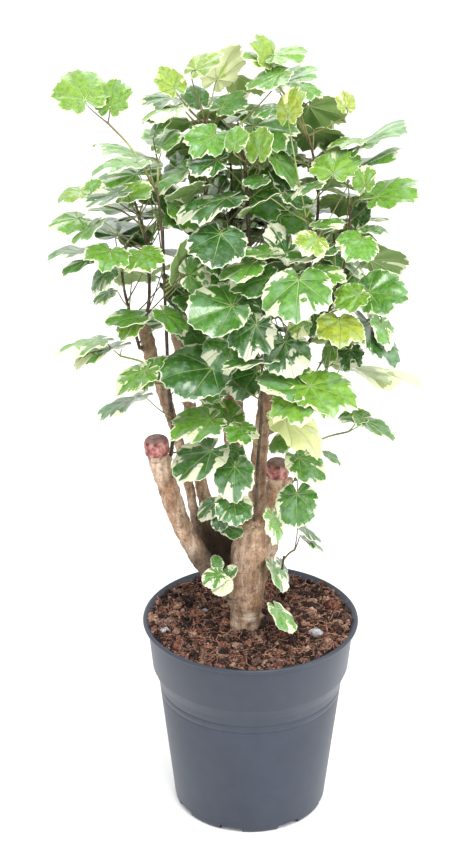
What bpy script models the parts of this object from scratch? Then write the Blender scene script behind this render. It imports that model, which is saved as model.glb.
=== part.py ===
"""A potted polyscias: a branched woody trunk with variegated, round, toothed leaves, in a nursery pot.

Metres, +Z up. The origin is the centre of the pot's base, and the photograph looks along +Y.
Each leafy shoot is one solid: its stem, the leaf stalks and the blades are fused.
"""

import math
import random

import bpy
from mathutils import Matrix, Vector
from mathutils.bvhtree import BVHTree

# Driving sizes, in metres
POT_RIM_RADIUS = 0.105
POT_FOOT_RADIUS = 0.0755
POT_HEIGHT = 0.2026
POT_WALL = 0.0018
SOIL_TOP = 0.1972
TOUCH_GAP = 0.0003
BLADE_THICKNESS = 0.0009
STALK_RADIUS = 0.0011
CLEAR_OF_OTHERS = 0.0012

# The photograph's sight lines: where the lens stood, which way it looked, and its focal length in pixels
EYE = Vector((0.0, -1.7037, 1.1722))
LOOK_DOWN = math.radians(24.21)
LOOK_ASIDE = math.radians(-0.756)
FOCAL_PX = 2000.0
PHOTO_CENTRE_PX = (227.5, 425.0)
FORWARD = Vector(
    (
        math.sin(LOOK_ASIDE) * math.cos(LOOK_DOWN),
        math.cos(LOOK_ASIDE) * math.cos(LOOK_DOWN),
        -math.sin(LOOK_DOWN),
    )
)
RIGHT = Vector((math.cos(LOOK_ASIDE), -math.sin(LOOK_ASIDE), 0.0))
UPWARD = RIGHT.cross(FORWARD)
MM = 0.001

# Limbs of the trunk: points as (pixel x, pixel y, depth behind the pot's axis in mm, radius in mm)
LIMBS = {
    "main": ((244, 690, -12, 13.5), (244, 640, -13, 14.2), (246, 605, -12, 15.6), (248, 574, -11, 18.3),
             (250, 547, -9, 19.3), (254, 524, -13, 13)),
    "left": ((240, 598, -3, 12), (216, 577, -6, 11.5), (197, 553, -11, 10.6), (180, 522, -17, 10.3),
             (169, 489, -21, 9.9), (159, 462, -24, 9.9), (156, 440, -25, 10.1)),
    "right": ((254, 580, 4, 14), (266, 545, 4, 12), (272, 510, -3, 11), (277, 480, -9, 9.9),
              (278, 463, -11, 9.4)),
    "left_rear": ((238, 592, 2, 11), (222, 566, 7, 9.5), (206, 542, 15, 6.5), (196, 520, 26, 4.8),
                  (187, 476, 28, 4.6), (178, 440, 26, 5.2), (166, 400, 24, 6.5), (153, 361, 22, 7.5),
                  (144, 328, 20, 7.5)),
    "left_inner": ((240, 590, 6, 12), (230, 560, 13, 12), (216, 538, 22, 9), (207, 513, 33, 6.8),
                   (200, 478, 39, 6.2), (196, 440, 42, 6.3), (189, 400, 43, 7), (184, 362, 43, 8),
                   (178, 328, 42, 7.5)),
    "centre": ((245, 583, 14, 15), (236, 535, 24, 12), (235, 490, 28, 10), (234, 440, 28, 9.5),
               (234, 400, 27, 9.5), (237, 360, 25, 9), (242, 320, 20, 8), (247, 285, 17, 7.5),
               (249, 266, 16, 7)),
    "centre_right": ((255, 570, 10, 13), (257, 525, 14, 10), (257, 490, 14, 9), (261, 445, 10, 8.5),
                     (266, 405, 2, 8), (270, 376, -2, 7.5)),
    "pruned_stub": ((237, 392, 20, 8), (242, 368, 12, 7.5), (244, 350, 8, 7)),
}
WAXED_LIMBS = ("left", "right")
WAX_THICKNESS = 0.0009
WAX_DEPTH = 0.013

# Leafy shoots: the limb they grow from, how far along it, and further points as (pixel x, pixel y, depth
# in mm). Each leaf is (depth in mm, blades...), and a blade is (hub x, hub y, tip x, tip y, width) as the
# photograph shows it, in pixels. A sixth value of -1 marks a blade that shows its underside.
SHOOTS = {
    "shoot_left_outer": {
        "limb": "left_rear", "along": 0.93, "radius": 3.0,
        "route": ((128, 306, 4), (123, 282, 0), (121, 258, 0)),
        "leaves": (
            (-8, (87, 252, 48, 254, 9)),
            (-25, (88, 260, 62, 271, 9)),
            (-34, (110, 251, 103, 268, 45)),
            (-14, (109, 271, 91, 291, 18)),
            (-20, (110, 292, 93, 301, 10)),
            (-34, (138, 317, 106, 322, 16), (136, 322, 121, 340, 20)),
        ),
        "rear": 3,
    },
    "shoot_left_inner": {
        "limb": "left_rear", "along": 1.0, "radius": 3.2,
        "route": ((149, 300, 24), (149, 272, 22), (146, 240, 20), (138, 212, 16), (133, 196, 12)),
        "leaves": (
            (-5, (78, 219, 48, 226, 20)),
            (-20, (96, 224, 72, 242, 10)),
            (2, (80, 191, 57, 197, 13), (91, 194, 99, 178, 20)),
            (-14, (123, 197, 153, 187, 19)),
            (-12, (119, 193, 86, 205, 14)),
            (8, (128, 208, 88, 214, 10)),
        ),
        "rear": 4,
    },
    "shoot_left_front": {
        "limb": "left", "along": 0.80, "radius": 4.0,
        "route": ((172, 446, -4), (173, 426, -6), (169, 390, -12), (167, 350, -15), (165, 300, -12),
                  (163, 250, -8),
                  (160, 212, -5), (157, 188, 0)),
        "leaves": (
            (0, (85, 100, 68, 68, 56), (110, 107, 115, 77, 35)),
            (6, (142, 156, 97, 136, 9)),
            (-10, (134, 163, 91, 169, 11)),
            (14, (156, 132, 168, 114, 11), (160, 147, 178, 130, 16)),
            (-32, (141, 253, 150, 270, 42)),
            (-36, (145, 371, 116, 392, 24), (146, 375, 144, 391, 20), (151, 372, 173, 359, 24)),
            (-26, (97, 340, 53, 349, 12), (115, 347, 74, 362, 10)),
            (-30, (164, 313, 187, 331, 20)),
            (-36, (189, 275, 217, 272, 37)),
            (-24, (180, 273, 190, 238, 20, -1)),
            (-46, (210, 420, 170, 433, 33)),
            (-40, (211, 451, 176, 477, 36)),
            (-20, (137, 397, 97, 412, 11)),
        ),
        "rear": 5,
    },
    "shoot_upper_left": {
        "limb": "left_inner", "along": 1.0, "radius": 3.8,
        "route": ((184, 292, 41), (190, 250, 40), (200, 215, 35), (207, 185, 30), (207, 140, 25),
                  (206, 122, 25)),
        "leaves": (
            (8, (175, 88, 162, 65, 27)),
            (12, (196, 70, 221, 51, 20)),
            (32, (217, 79, 236, 44, 34, -1)),
            (36, (172, 98, 141, 99, 14)),
            (10, (175, 108, 141, 115, 11)),
            (46, (199, 102, 187, 84, 24)),
            (-8, (217, 160, 186, 158, 31)),
            (-2, (198, 188, 166, 201, 13, -1)),
            (-18, (227, 198, 176, 210, 18)),
            (0, (187, 328, 209, 349, 27)),
            (14, (197, 386, 227, 384, 30)),
            (-8, (230, 419, 204, 397, 30)),
        ),
        "rear": 5,
    },
    "shoot_centre": {
        "limb": "centre", "along": 1.0, "radius": 3.6,
        "route": ((249, 240, 15), (247, 200, 15), (245, 170, 12), (240, 140, 10), (238, 122, 10)),
        "leaves": (
            (22, (222, 108, 247, 92, 22)),
            (-18, (235, 146, 240, 126, 22), (259, 154, 264, 127, 26)),
            (-10, (263, 180, 243, 184, 12)),
            (16, (280, 74, 247, 87, 18)),
            (10, (273, 108, 252, 113, 12)),
            (-46, (221, 234, 212, 262, 56)),
            (-58, (252, 264, 220, 278, 22)),
            (-20, (287, 255, 272, 223, 24)),
            (-40, (269, 254, 231, 248, 13)),
        ),
        "rear": 5,
    },
    "shoot_centre_rear": {
        "limb": "centre", "along": 0.72, "radius": 3.2,
        "route": ((231, 300, 52), (230, 250, 62), (232, 200, 66), (230, 150, 62)),
        "leaves": (),
        "rear": 9,
    },
    "shoot_front": {
        "limb": "main", "along": 1.0, "radius": 3.4,
        "route": ((256, 507, -22), (258, 460, -38), (261, 420, -40), (262, 380, -40), (262, 345, -40)),
        "leaves": (
            (-58, (241, 428, 246, 446, 32)),
            (-54, (235, 467, 233, 501, 38)),
            (-48, (234, 499, 237, 523, 36)),
            (-36, (226, 527, 243, 533, 15)),
            (-26, (224, 515, 214, 528, 17)),
            (-12, (214, 503, 199, 518, 18)),
            (-26, (236, 449, 230, 463, 20)),
            (-62, (232, 306, 189, 321, 50)),
            (-50, (235, 307, 263, 306, 26)),
            (-70, (256, 325, 246, 360, 46)),
            (-62, (285, 342, 294, 377, 46)),
            (-52, (264, 361, 223, 366, 8)),
        ),
        "rear": 0,
    },
    "shoot_right_front": {
        "limb": "centre_right", "along": 1.0, "radius": 3.8,
        "route": ((283, 345, -25), (297, 315, -35), (305, 290, -35), (310, 262, -30), (311, 238, -25),
                  (305, 212, -20)),
        "leaves": (
            (-84, (299, 280, 295, 316, 66)),
            (-66, (318, 272, 346, 280, 20)),
            (-42, (326, 250, 287, 262, 16)),
            (-46, (316, 239, 305, 251, 34)),
            (-40, (319, 226, 344, 220, 10)),
            (-62, (303, 321, 294, 338, 22)),
            (-55, (314, 318, 312, 337, 15)),
            (-10, (288, 115, 290, 86, 26)),
            (10, (284, 186, 278, 165, 17)),
            (0, (290, 196, 314, 205, 15)),
            (-12, (316, 185, 291, 195, 8)),
        ),
        "rear": 0,
    },
    "shoot_upper_right": {
        "limb": "centre_right", "along": 0.86, "radius": 3.8,
        "route": ((284, 345, 30), (300, 290, 40), (312, 250, 40), (318, 210, 34), (316, 170, 28),
                  (308, 135, 24)),
        "leaves": (
            (20, (270, 64, 260, 33, 24), (266, 63, 243, 47, 12)),
            (14, (274, 56, 307, 47, 19)),
            (26, (283, 83, 316, 64, 20)),
            (30, (300, 86, 323, 93, 13)),
            (40, (262, 130, 280, 125, 6)),
            (30, (291, 151, 287, 136, 14)),
            (20, (346, 108, 343, 91, 19)),
            (-14, (333, 173, 338, 146, 50)),
            (20, (357, 141, 328, 143, 8)),
            (15, (361, 146, 406, 114, 14)),
        ),
        "rear": 6,
    },
    "shoot_right_outer": {
        "limb": "centre_right", "along": 0.66, "radius": 4.0,
        "route": ((296, 365, 2), (326, 315, -4), (343, 270, -8), (349, 235, -8), (350, 205, -5)),
        "leaves": (
            (-5, (354, 169, 403, 152, 12)),
            (-15, (377, 197, 418, 178, 30)),
            (-5, (365, 186, 366, 165, 23)),
            (-40, (361, 239, 349, 255, 40)),
            (-20, (367, 229, 391, 232, 8)),
            (12, (370, 260, 409, 259, 30, -1)),
            (5, (359, 221, 360, 201, 20)),
            (-36, (369, 292, 407, 297, 44)),
            (-62, (359, 294, 335, 306, 28)),
            (-66, (339, 320, 341, 341, 46)),
            (-35, (370, 324, 396, 366, 26)),
            (-52, (381, 322, 391, 349, 18)),
        ),
        "rear": 5,
    },
    "shoot_right_low": {
        "limb": "right", "along": 0.72, "radius": 3.2,
        "route": ((294, 466, -10), (303, 430, -25), (306, 402, -30), (308, 380, -30)),
        "leaves": (
            (-68, (303, 388, 258, 372, 36), (304, 393, 300, 419, 60), (310, 386, 357, 399, 42)),
            (-30, (351, 350, 345, 371, 30)),
            (-20, (332, 346, 326, 369, 15)),
            (12, (349, 366, 422, 381, 11)),
            (-46, (299, 458, 323, 481, 30)),
            (-40, (285, 419, 322, 449, 33)),
            (-18, (288, 437, 270, 450, 18)),
            (-20, (362, 418, 338, 415, 15), (365, 421, 394, 439, 15)),
            (-18, (328, 454, 341, 464, 7)),
            (-52, (297, 494, 296, 526, 40)),
            (-36, (272, 517, 277, 543, 18)),
        ),
        "rear": 3,
    },
    "sprout_left": {
        "limb": "main", "along": 0.45, "radius": 1.6,
        "route": ((221, 581, -37), (220, 573, -40)),
        "leaves": (
            (-40, (217, 567, 216, 555, 12), (229, 576, 231, 564, 13)),
            (-46, (219, 575, 203, 582, 19), (222, 581, 222, 596, 21)),
        ),
        "rear": 0,
    },
    "sprout_right": {
        "limb": "main", "along": 0.32, "radius": 1.6,
        "route": ((276, 598, -12), (281, 575, -10), (284, 556, -6)),
        "leaves": (
            (-20, (273, 567, 286, 590, 12)),
            (-8, (281, 563, 289, 581, 8)),
            (-32, (277, 609, 295, 630, 15)),
            (-4, (306, 539, 323, 551, 5), (304, 528, 321, 542, 7)),
        ),
        "rear": 0,
    },
}

# Rear foliage, which the photograph hides: its sizes in metres, and the draw's seed
REAR_SEED = 11
REAR_STALK = (0.045, 0.080)
REAR_BLADE = (0.036, 0.052)
REAR_TRIES = 24
CROWN_CENTRE = Vector((-0.014, 0.000, 0.580))
CROWN_REACH = (0.165, 0.160, 0.185)

# A blade's outline, about the hub where its veins meet: a circle that reaches further forward, with a gap
# behind for the stalk. Teeth and notches take turns along it. Sizes are shares of the length from hub to tip.
OUTLINE_CIRCLE = 0.644
OUTLINE_FORWARD = 0.356
OUTLINE_TURN = math.radians(134)
TOOTH_OUT = 1.04
NOTCH_IN = 0.85
TEETH = 7
SMALL_TEETH = 5
SMALL_BLADE = 0.029
WIDTH_SHARE = 2 * OUTLINE_CIRCLE
KNEE_BACK = 0.0035
KNEE_DOWN = 0.0012
STRAIGHT_STALK = 0.5


def seen_at(px, py, depth_mm):
    """The point that the photograph shows at a pixel, at a depth behind the pot's axis."""
    aside, down = px - PHOTO_CENTRE_PX[0], py - PHOTO_CENTRE_PX[1]
    ray = FORWARD + RIGHT * (aside / FOCAL_PX) - UPWARD * (down / FOCAL_PX)
    return EYE + ray * ((depth_mm * MM - EYE.y) / ray.y)


def material(name, colour, roughness):
    """A Principled material with one colour."""
    made = bpy.data.materials.new(name)
    made.use_nodes = True
    shader = made.node_tree.nodes["Principled BSDF"]
    shader.inputs["Base Color"].default_value = (*colour, 1.0)
    shader.inputs["Roughness"].default_value = roughness
    return made


def mesh_object(name, points, faces, finish=None):
    """A new mesh object in the scene."""
    mesh = bpy.data.meshes.new(name)
    mesh.from_pydata([tuple(p) for p in points], [], faces)
    mesh.update()
    made = bpy.data.objects.new(name, mesh)
    bpy.context.scene.collection.objects.link(made)
    if finish:
        mesh.materials.append(finish)
    return made


def smooth(obj, angle=40.0):
    """Round faces shaded smooth, with corners kept sharp."""
    obj.data.shade_smooth()
    obj.data.set_sharp_from_angle(angle=math.radians(angle))


def turned(profile, sides):
    """Points and faces of a closed profile of (radius, height), listed anticlockwise, turned about Z."""
    points, rings = [], []
    for radius, height in profile:
        if radius < 1e-9:
            rings.append([len(points)] * sides)
            points.append(Vector((0, 0, height)))
            continue
        rings.append(list(range(len(points), len(points) + sides)))
        for k in range(sides):
            a = 2 * math.pi * k / sides
            points.append(Vector((radius * math.cos(a), radius * math.sin(a), height)))
    faces = []
    for here, there in zip(rings, rings[1:] + rings[:1]):
        for k in range(sides):
            n = (k + 1) % sides
            corners = [here[k], here[n], there[n], there[k]]
            face = [c for i, c in enumerate(corners) if c not in corners[:i]]
            if len(face) > 2:
                faces.append(face)
    return points, faces


def curve_through(points, steps):
    """Points along a smooth curve through the given points, with this many steps to each stretch."""
    ends = [points[0] * 2 - points[1], *points, points[-1] * 2 - points[-2]]
    made = []
    for i in range(1, len(ends) - 2):
        a, b, c, d = ends[i - 1 : i + 3]
        for k in range(steps):
            t = k / steps
            square, cube = a * 2 - b * 5 + c * 4 - d, b * 3 - a - c * 3 + d
            made.append((b * 2 + (c - a) * t + square * t**2 + cube * t**3) * 0.5)
    return [*made, points[-1].copy()]


def tube(points, radii, sides, bumps=0.0, seed=0):
    """Points and faces of a closed round tube along a line of points. Bumps make its girth uneven."""
    draw = random.Random(seed)
    made, faces = [], []
    across = None
    for i, point in enumerate(points):
        along = (points[min(i + 1, len(points) - 1)] - points[max(i - 1, 0)]).normalized()
        if across is None:
            across = along.orthogonal().normalized()
        across = (across - along * across.dot(along)).normalized()
        other = along.cross(across)
        for k in range(sides):
            a = 2 * math.pi * k / sides
            r = radii[i] * (1 + bumps * draw.uniform(-1, 1))
            made.append(point + (across * math.cos(a) + other * math.sin(a)) * r)
    for i in range(len(points) - 1):
        for k in range(sides):
            n = (k + 1) % sides
            a, b = i * sides, (i + 1) * sides
            faces.append((a + k, a + n, b + n, b + k))
    faces.append(tuple(reversed(range(sides))))
    last = (len(points) - 1) * sides
    faces.append(tuple(range(last, last + sides)))
    return made, faces


def unite(body, others):
    """Fuses the other objects into body, and removes them."""
    if not others:
        return body
    group = bpy.data.collections.new("fused")
    for obj in others:
        group.objects.link(obj)
    join = body.modifiers.new("fuse", "BOOLEAN")
    join.operation = "UNION"
    join.operand_type = "COLLECTION"
    join.collection = group
    join.solver = "MANIFOLD"
    bpy.context.view_layer.objects.active = body
    bpy.ops.object.modifier_apply(modifier=join.name)
    for obj in others:
        bpy.data.objects.remove(obj)
    bpy.data.collections.remove(group)
    return body


def cut(body, cutter):
    """Cuts one object out of another, and removes the cutter."""
    bite = body.modifiers.new("cut", "BOOLEAN")
    bite.operation = "DIFFERENCE"
    bite.object = cutter
    bite.solver = "EXACT"
    bpy.context.view_layer.objects.active = body
    bpy.ops.object.modifier_apply(modifier=bite.name)
    bpy.data.objects.remove(cutter)


# Pot
POT_SIDES = 36
LIP_DROP = 0.0045
LIP_OUT = 0.0045
LIP_WIDTH = 0.0034
BAND_HEIGHT = 0.0500
STEP_HEIGHT = 0.0125
BAND_FOOT_RADIUS = 0.0960
STEP_FOOT_RADIUS = 0.0905
FOOT_ROUND = 0.006
GROOVES = (0.0085, 0.0165)
GROOVE_DEPTH = 0.0007
FOOT_NOTCHES = 8
NOTCH_WIDTH = 0.023
NOTCH_HEIGHT = 0.0055
NOTCH_REACH = 0.012
NOTCH_TURN = math.radians(-104)


def pot_outer():
    """The pot's outer profile from its foot up to the lip, as (radius, height)."""
    step_foot = POT_HEIGHT - BAND_HEIGHT - STEP_HEIGHT
    slope = (STEP_FOOT_RADIUS - POT_FOOT_RADIUS) / (step_foot - FOOT_ROUND)
    profile = [
        (POT_FOOT_RADIUS - FOOT_ROUND * 0.6, 0.0),
        (POT_FOOT_RADIUS - FOOT_ROUND * 0.15, FOOT_ROUND * 0.35),
        (POT_FOOT_RADIUS, FOOT_ROUND),
    ]
    for drop in reversed(GROOVES):
        height = step_foot - drop
        radius = STEP_FOOT_RADIUS - slope * drop
        profile += [(radius - slope * 0.0015, height - 0.0015), (radius - GROOVE_DEPTH, height),
                    (radius + slope * 0.0015, height + 0.0015)]
    band_top = POT_RIM_RADIUS - LIP_OUT
    profile += [
        (STEP_FOOT_RADIUS, step_foot),
        (BAND_FOOT_RADIUS, POT_HEIGHT - BAND_HEIGHT),
        (band_top, POT_HEIGHT - LIP_DROP),
        (POT_RIM_RADIUS, POT_HEIGHT - LIP_DROP * 0.75),
        (POT_RIM_RADIUS, POT_HEIGHT - LIP_DROP * 0.25),
        (POT_RIM_RADIUS - LIP_DROP * 0.25, POT_HEIGHT),
    ]
    return profile


def pot_inner():
    """The pot's inner profile from the lip down to the floor, as (radius, height)."""
    step_foot = POT_HEIGHT - BAND_HEIGHT - STEP_HEIGHT
    return [
        (POT_RIM_RADIUS - LIP_WIDTH, POT_HEIGHT),
        (POT_RIM_RADIUS - LIP_OUT - POT_WALL - 0.0008, POT_HEIGHT - LIP_DROP),
        (BAND_FOOT_RADIUS - POT_WALL, POT_HEIGHT - BAND_HEIGHT + 0.0008),
        (STEP_FOOT_RADIUS - POT_WALL, step_foot + 0.0008),
        (POT_FOOT_RADIUS - POT_WALL, NOTCH_HEIGHT + 0.003),
    ]


def make_pot(finish):
    """The moulded pot: a thin tapered wall with a banded rim, a rolled lip, grooves and drainage notches."""
    floor_top = NOTCH_HEIGHT + 0.002
    inner = [*pot_inner(), (POT_FOOT_RADIUS - POT_WALL - 0.003, floor_top), (0.0, floor_top)]
    points, faces = turned([(0.0, 0.0), *pot_outer(), *inner], POT_SIDES)
    pot = mesh_object("pot", points, faces, finish)
    for k in range(FOOT_NOTCHES):
        turn = NOTCH_TURN + 2 * math.pi * k / FOOT_NOTCHES
        bpy.ops.mesh.primitive_cube_add(size=1.0)
        notch = bpy.context.object
        reach = NOTCH_REACH + 0.010
        notch.data.transform(Matrix.Diagonal((reach, NOTCH_WIDTH, 2 * NOTCH_HEIGHT, 1.0)))
        middle = POT_FOOT_RADIUS - NOTCH_REACH + reach / 2
        notch.data.transform(Matrix.Rotation(turn, 4, "Z") @ Matrix.Translation((middle, 0, 0)))
        cut(pot, notch)
    smooth(pot, 30)
    return pot


# Soil
SOIL_SIDES = 28
SOIL_RINGS = 5
SOIL_BUMP = 0.0035
SOIL_SEED = 5


def soil_height(x, y):
    """The crumbled top of the soil: a slow heave and smaller lumps, with a rise round the trunk."""
    radius = math.hypot(x, y)
    heave = 0.0022 * math.sin(38 * x + 1.0) * math.cos(33 * y - 0.6)
    lumps = 0.0016 * math.sin(131 * x + 70 * y) * math.sin(117 * y - 52 * x + 0.8)
    rise = 0.004 * math.exp(-((radius / 0.035) ** 2))
    return SOIL_TOP + heave + lumps + rise


def make_soil(finish, trunk):
    """The potting mix: it fills the pot, its top is lumpy, and the trunk stands in a plain hole."""
    draw = random.Random(SOIL_SEED)
    inner = pot_inner()
    step_up = TOUCH_GAP * 1.5
    wall = [(r - step_up, z) for r, z in reversed(inner[2:])]
    share = (SOIL_TOP - inner[2][1]) / (inner[1][1] - inner[2][1])
    edge = inner[2][0] + (inner[1][0] - inner[2][0]) * share - step_up
    floor = NOTCH_HEIGHT + 0.002 + TOUCH_GAP
    top = [(edge * k / SOIL_RINGS - 0.0006, SOIL_TOP) for k in range(SOIL_RINGS, 0, -1)]
    profile = [
        (0.0, floor),
        (POT_FOOT_RADIUS - POT_WALL - 0.0038, floor),
        *wall,
        (edge - 0.0004, SOIL_TOP - 0.004),
        *top,
        (0.0, SOIL_TOP),
    ]
    points, faces = turned(profile, SOIL_SIDES)
    for p in points:
        if p.z > SOIL_TOP - 1e-6:
            inside = min(1.0, (edge - math.hypot(p.x, p.y)) / 0.008)
            p.z = soil_height(p.x, p.y) + SOIL_BUMP * draw.uniform(-0.5, 0.5) * inside
    soil = mesh_object("soil", points, faces, finish)
    hole = trunk.copy()
    hole.data = trunk.data.copy()
    bpy.context.scene.collection.objects.link(hole)
    swell = hole.modifiers.new("swell", "DISPLACE")
    swell.strength = TOUCH_GAP * 2
    swell.mid_level = 0.0
    bpy.context.view_layer.objects.active = hole
    bpy.ops.object.modifier_apply(modifier=swell.name)
    cut(soil, hole)
    smooth(soil, 60)
    return soil


# Trunk
LIMB_SIDES = 8
SHOOT_SIDES = 5
LIMB_STEPS = 1
LIMB_BUMPS = 0.05
COLLAR_OUT = 0.005
SIDE_SHOOT_LEAN = 0.5
SHOOT_STRAIGHT = 0.004


def limb_line(name):
    """A limb's middle line and its radius at each point."""
    rows = LIMBS[name]
    places = [seen_at(px, py, depth) for px, py, depth, _ in rows]
    line = curve_through(places, LIMB_STEPS)
    radii = [Vector((r * MM, 0, 0)) for *_, r in rows]
    return line, [v.x for v in curve_through(radii, LIMB_STEPS)]


def on_limb(name, along):
    """The point, the direction and the radius a share of the way along a limb's middle line."""
    line, radii = limb_line(name)
    place = along * (len(line) - 1)
    i = min(int(place), len(line) - 2)
    return line[i].lerp(line[i + 1], place - i), (line[i + 1] - line[i]).normalized(), radii[i]


def shoot_line(shoot):
    """A shoot's middle line, from just off the limb's surface to its tip, and the collar under it."""
    start, limb_along, limb_radius = on_limb(shoot["limb"], shoot["along"])
    places = [seen_at(*spot) for spot in shoot["route"]]
    away = (places[0] - start).normalized()
    out = COLLAR_OUT
    if shoot["along"] < 1.0:
        sideways = (away - limb_along * away.dot(limb_along)).normalized()
        away = (sideways + away * SIDE_SHOOT_LEAN).normalized()
        out = COLLAR_OUT + limb_radius / away.dot(sideways)
    collar_end = start + away * out
    line = [collar_end + away * TOUCH_GAP, collar_end + away * SHOOT_STRAIGHT, *places]
    return line, (start - away * limb_radius * 0.3, collar_end)


def limb_solid(name, swell=0.0):
    """Points and faces of a limb, or of one that is larger all round by swell."""
    line, radii = limb_line(name)
    line[-1] = line[-1] + (line[-1] - line[-2]).normalized() * swell
    seed = list(LIMBS).index(name)
    return tube(line, [r + swell for r in radii], LIMB_SIDES, bumps=LIMB_BUMPS, seed=seed)


def make_trunk(finish):
    """The trunk with its limbs and the collars where shoots leave it, grown as one."""
    parts = [mesh_object(name, *limb_solid(name)) for name in LIMBS]
    for name, shoot in SHOOTS.items():
        _, collar = shoot_line(shoot)
        radius = shoot["radius"] * MM * 1.25
        points, faces = tube(collar, [radius * 1.1, radius], 7)
        parts.append(mesh_object(name + "_collar", points, faces))
    trunk = unite(parts[0], parts[1:])
    trunk.name = "trunk"
    trunk.data.materials.clear()
    trunk.data.materials.append(finish)
    smooth(trunk, 50)
    return trunk


def make_wax(name, limb, finish):
    """The red wax that seals a sawn limb: a thin cap over its end."""
    line, radii = limb_line(limb)
    end, along = line[-1], (line[-1] - line[-2]).normalized()
    across = along.orthogonal().normalized()
    frame = Matrix((across, along.cross(across), along)).transposed().to_4x4()
    frame.translation = end
    outer = radii[-1] * (1 + LIMB_BUMPS) + TOUCH_GAP + WAX_THICKNESS
    profile = [(0.0, -WAX_DEPTH), (outer, -WAX_DEPTH), (outer, -0.002),
               (outer * 0.86, WAX_THICKNESS * 1.5), (0.0, WAX_THICKNESS * 2.1)]
    points, faces = turned(profile, 12)
    wax = mesh_object(name, [frame @ p for p in points], faces, finish)
    cut(wax, mesh_object("sawn_end", *limb_solid(limb, TOUCH_GAP * 1.2)))
    smooth(wax, 50)
    return wax


# Leaves
def outline(blade):
    """A blade's outline about its hub: points as (across, along), from the gap's right to its left."""
    points = []
    last = 2 * blade["teeth"] - 2
    for k in range(last + 1):
        angle = OUTLINE_TURN * (2 * k / last - 1)
        sideways = OUTLINE_FORWARD * math.sin(angle)
        reach = OUTLINE_FORWARD * math.cos(angle) + math.sqrt(OUTLINE_CIRCLE**2 - sideways**2)
        reach *= blade["length"] * (TOOTH_OUT if k % 2 == 0 else NOTCH_IN)
        points.append((-math.sin(angle) * reach, math.cos(angle) * reach))
    return points


def leaf_shape(blade, stalk, thickness=BLADE_THICKNESS, radius=STALK_RADIUS):
    """Points and faces of a blade on its three-sided stalk. Both faces of the blade are fans from the hub."""
    hub, along, normal, length = (blade[k] for k in ("hub", "along", "normal", "length"))
    across = along.cross(normal)
    half = normal * thickness / 2
    top = []
    for x, y in outline(blade):
        away = (x * x + y * y) / length
        ripple = 0.035 * away * math.sin(3.0 * math.atan2(x, y) + blade["phase"])
        top.append(hub + across * x + along * y + half + normal * (blade["cup"] * away + ripple))
    count = len(top)
    tip = 3 + count // 2
    side = across * radius * 0.8
    points = [hub + half, hub - half - side, hub - half + side, *top, *[p - half * 2 for p in top]]
    faces = [(0, i, i + 1) for i in range(3, count + 2)]
    faces += [(2 if i < tip else 1, count + i + 1, count + i) for i in range(3, count + 2)]
    faces.append((1, count + tip, 2))
    faces += [(i, count + i, count + i + 1, i + 1) for i in range(3, count + 2)]
    faces += [(0, 2, count + 3, 3), (0, count + 2, 2 * count + 2, 1)]
    ring = (0, 1, 2)
    up, before = normal, -along
    for i, point in enumerate(stalk):
        after = (stalk[i + 1] - point if i + 1 < len(stalk) else point - stalk[i - 1]).normalized()
        way = (before + after).normalized()
        up = (up - way * up.dot(way)).normalized()
        side = up.cross(way) * radius * 0.87
        start = len(points)
        points += [point + up * radius, point - up * radius / 2 - side, point - up * radius / 2 + side]
        fresh = (start, start + 1, start + 2)
        faces += [(ring[k], ring[(k + 1) % 3], fresh[(k + 1) % 3], fresh[k]) for k in range(3)]
        ring, before = fresh, after
    faces.append(ring)
    return points, faces


def blade_seen(mark, depth_mm, draw):
    """A blade in space from how the photograph shows it. Its size is the larger of its length and width over
    the width's usual share. What looks shorter is turned away, with the upper side as level as it can be."""
    hub_x, hub_y, tip_x, tip_y, width_px = mark[:5]
    side = mark[5] if len(mark) > 5 else 1
    hub = seen_at(hub_x, hub_y, depth_mm)
    to_eye = (EYE - hub).normalized()
    metre_px = FOCAL_PX / (hub - EYE).dot(FORWARD)
    level = RIGHT * (tip_x - hub_x) - UPWARD * (tip_y - hub_y)
    level = (level - to_eye * level.dot(to_eye)).normalized()
    length = math.hypot(tip_x - hub_x, tip_y - hub_y) / metre_px
    width = width_px / metre_px
    full = max(length, width / WIDTH_SHARE) * 1.03
    lean = math.acos(min(1.0, length / full))
    roll = math.acos(min(1.0, width / (WIDTH_SHARE * full)))
    best = None
    for lean_sign in (1, -1):
        along = (level * math.cos(lean) + to_eye * math.sin(lean) * lean_sign).normalized()
        facing = (to_eye - along * to_eye.dot(along)).normalized() * side
        for roll_sign in (1, -1):
            normal = Matrix.Rotation(roll * roll_sign, 3, along) @ facing
            if best is None or normal.z > best[1].z + 1e-6:
                best = (along, normal)
    return {"hub": hub, "along": best[0], "normal": best[1], "length": full,
            "teeth": SMALL_TEETH if full < SMALL_BLADE else TEETH,
            "cup": draw.uniform(-0.16, 0.06), "phase": draw.uniform(0, 6.28)}


def nearest_on(line, wanted_z):
    """The first point along a shoot that is this high, or the end that is nearest to it."""
    for a, b in zip(line, line[1:]):
        if (a.z - wanted_z) * (b.z - wanted_z) <= 0 and abs(b.z - a.z) > 1e-6:
            return a.lerp(b, (wanted_z - a.z) / (b.z - a.z))
    first, last = line[0].lerp(line[1], 0.2), line[-1].lerp(line[-2], 0.2)
    return last if abs(last.z - wanted_z) < abs(first.z - wanted_z) else first


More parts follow.
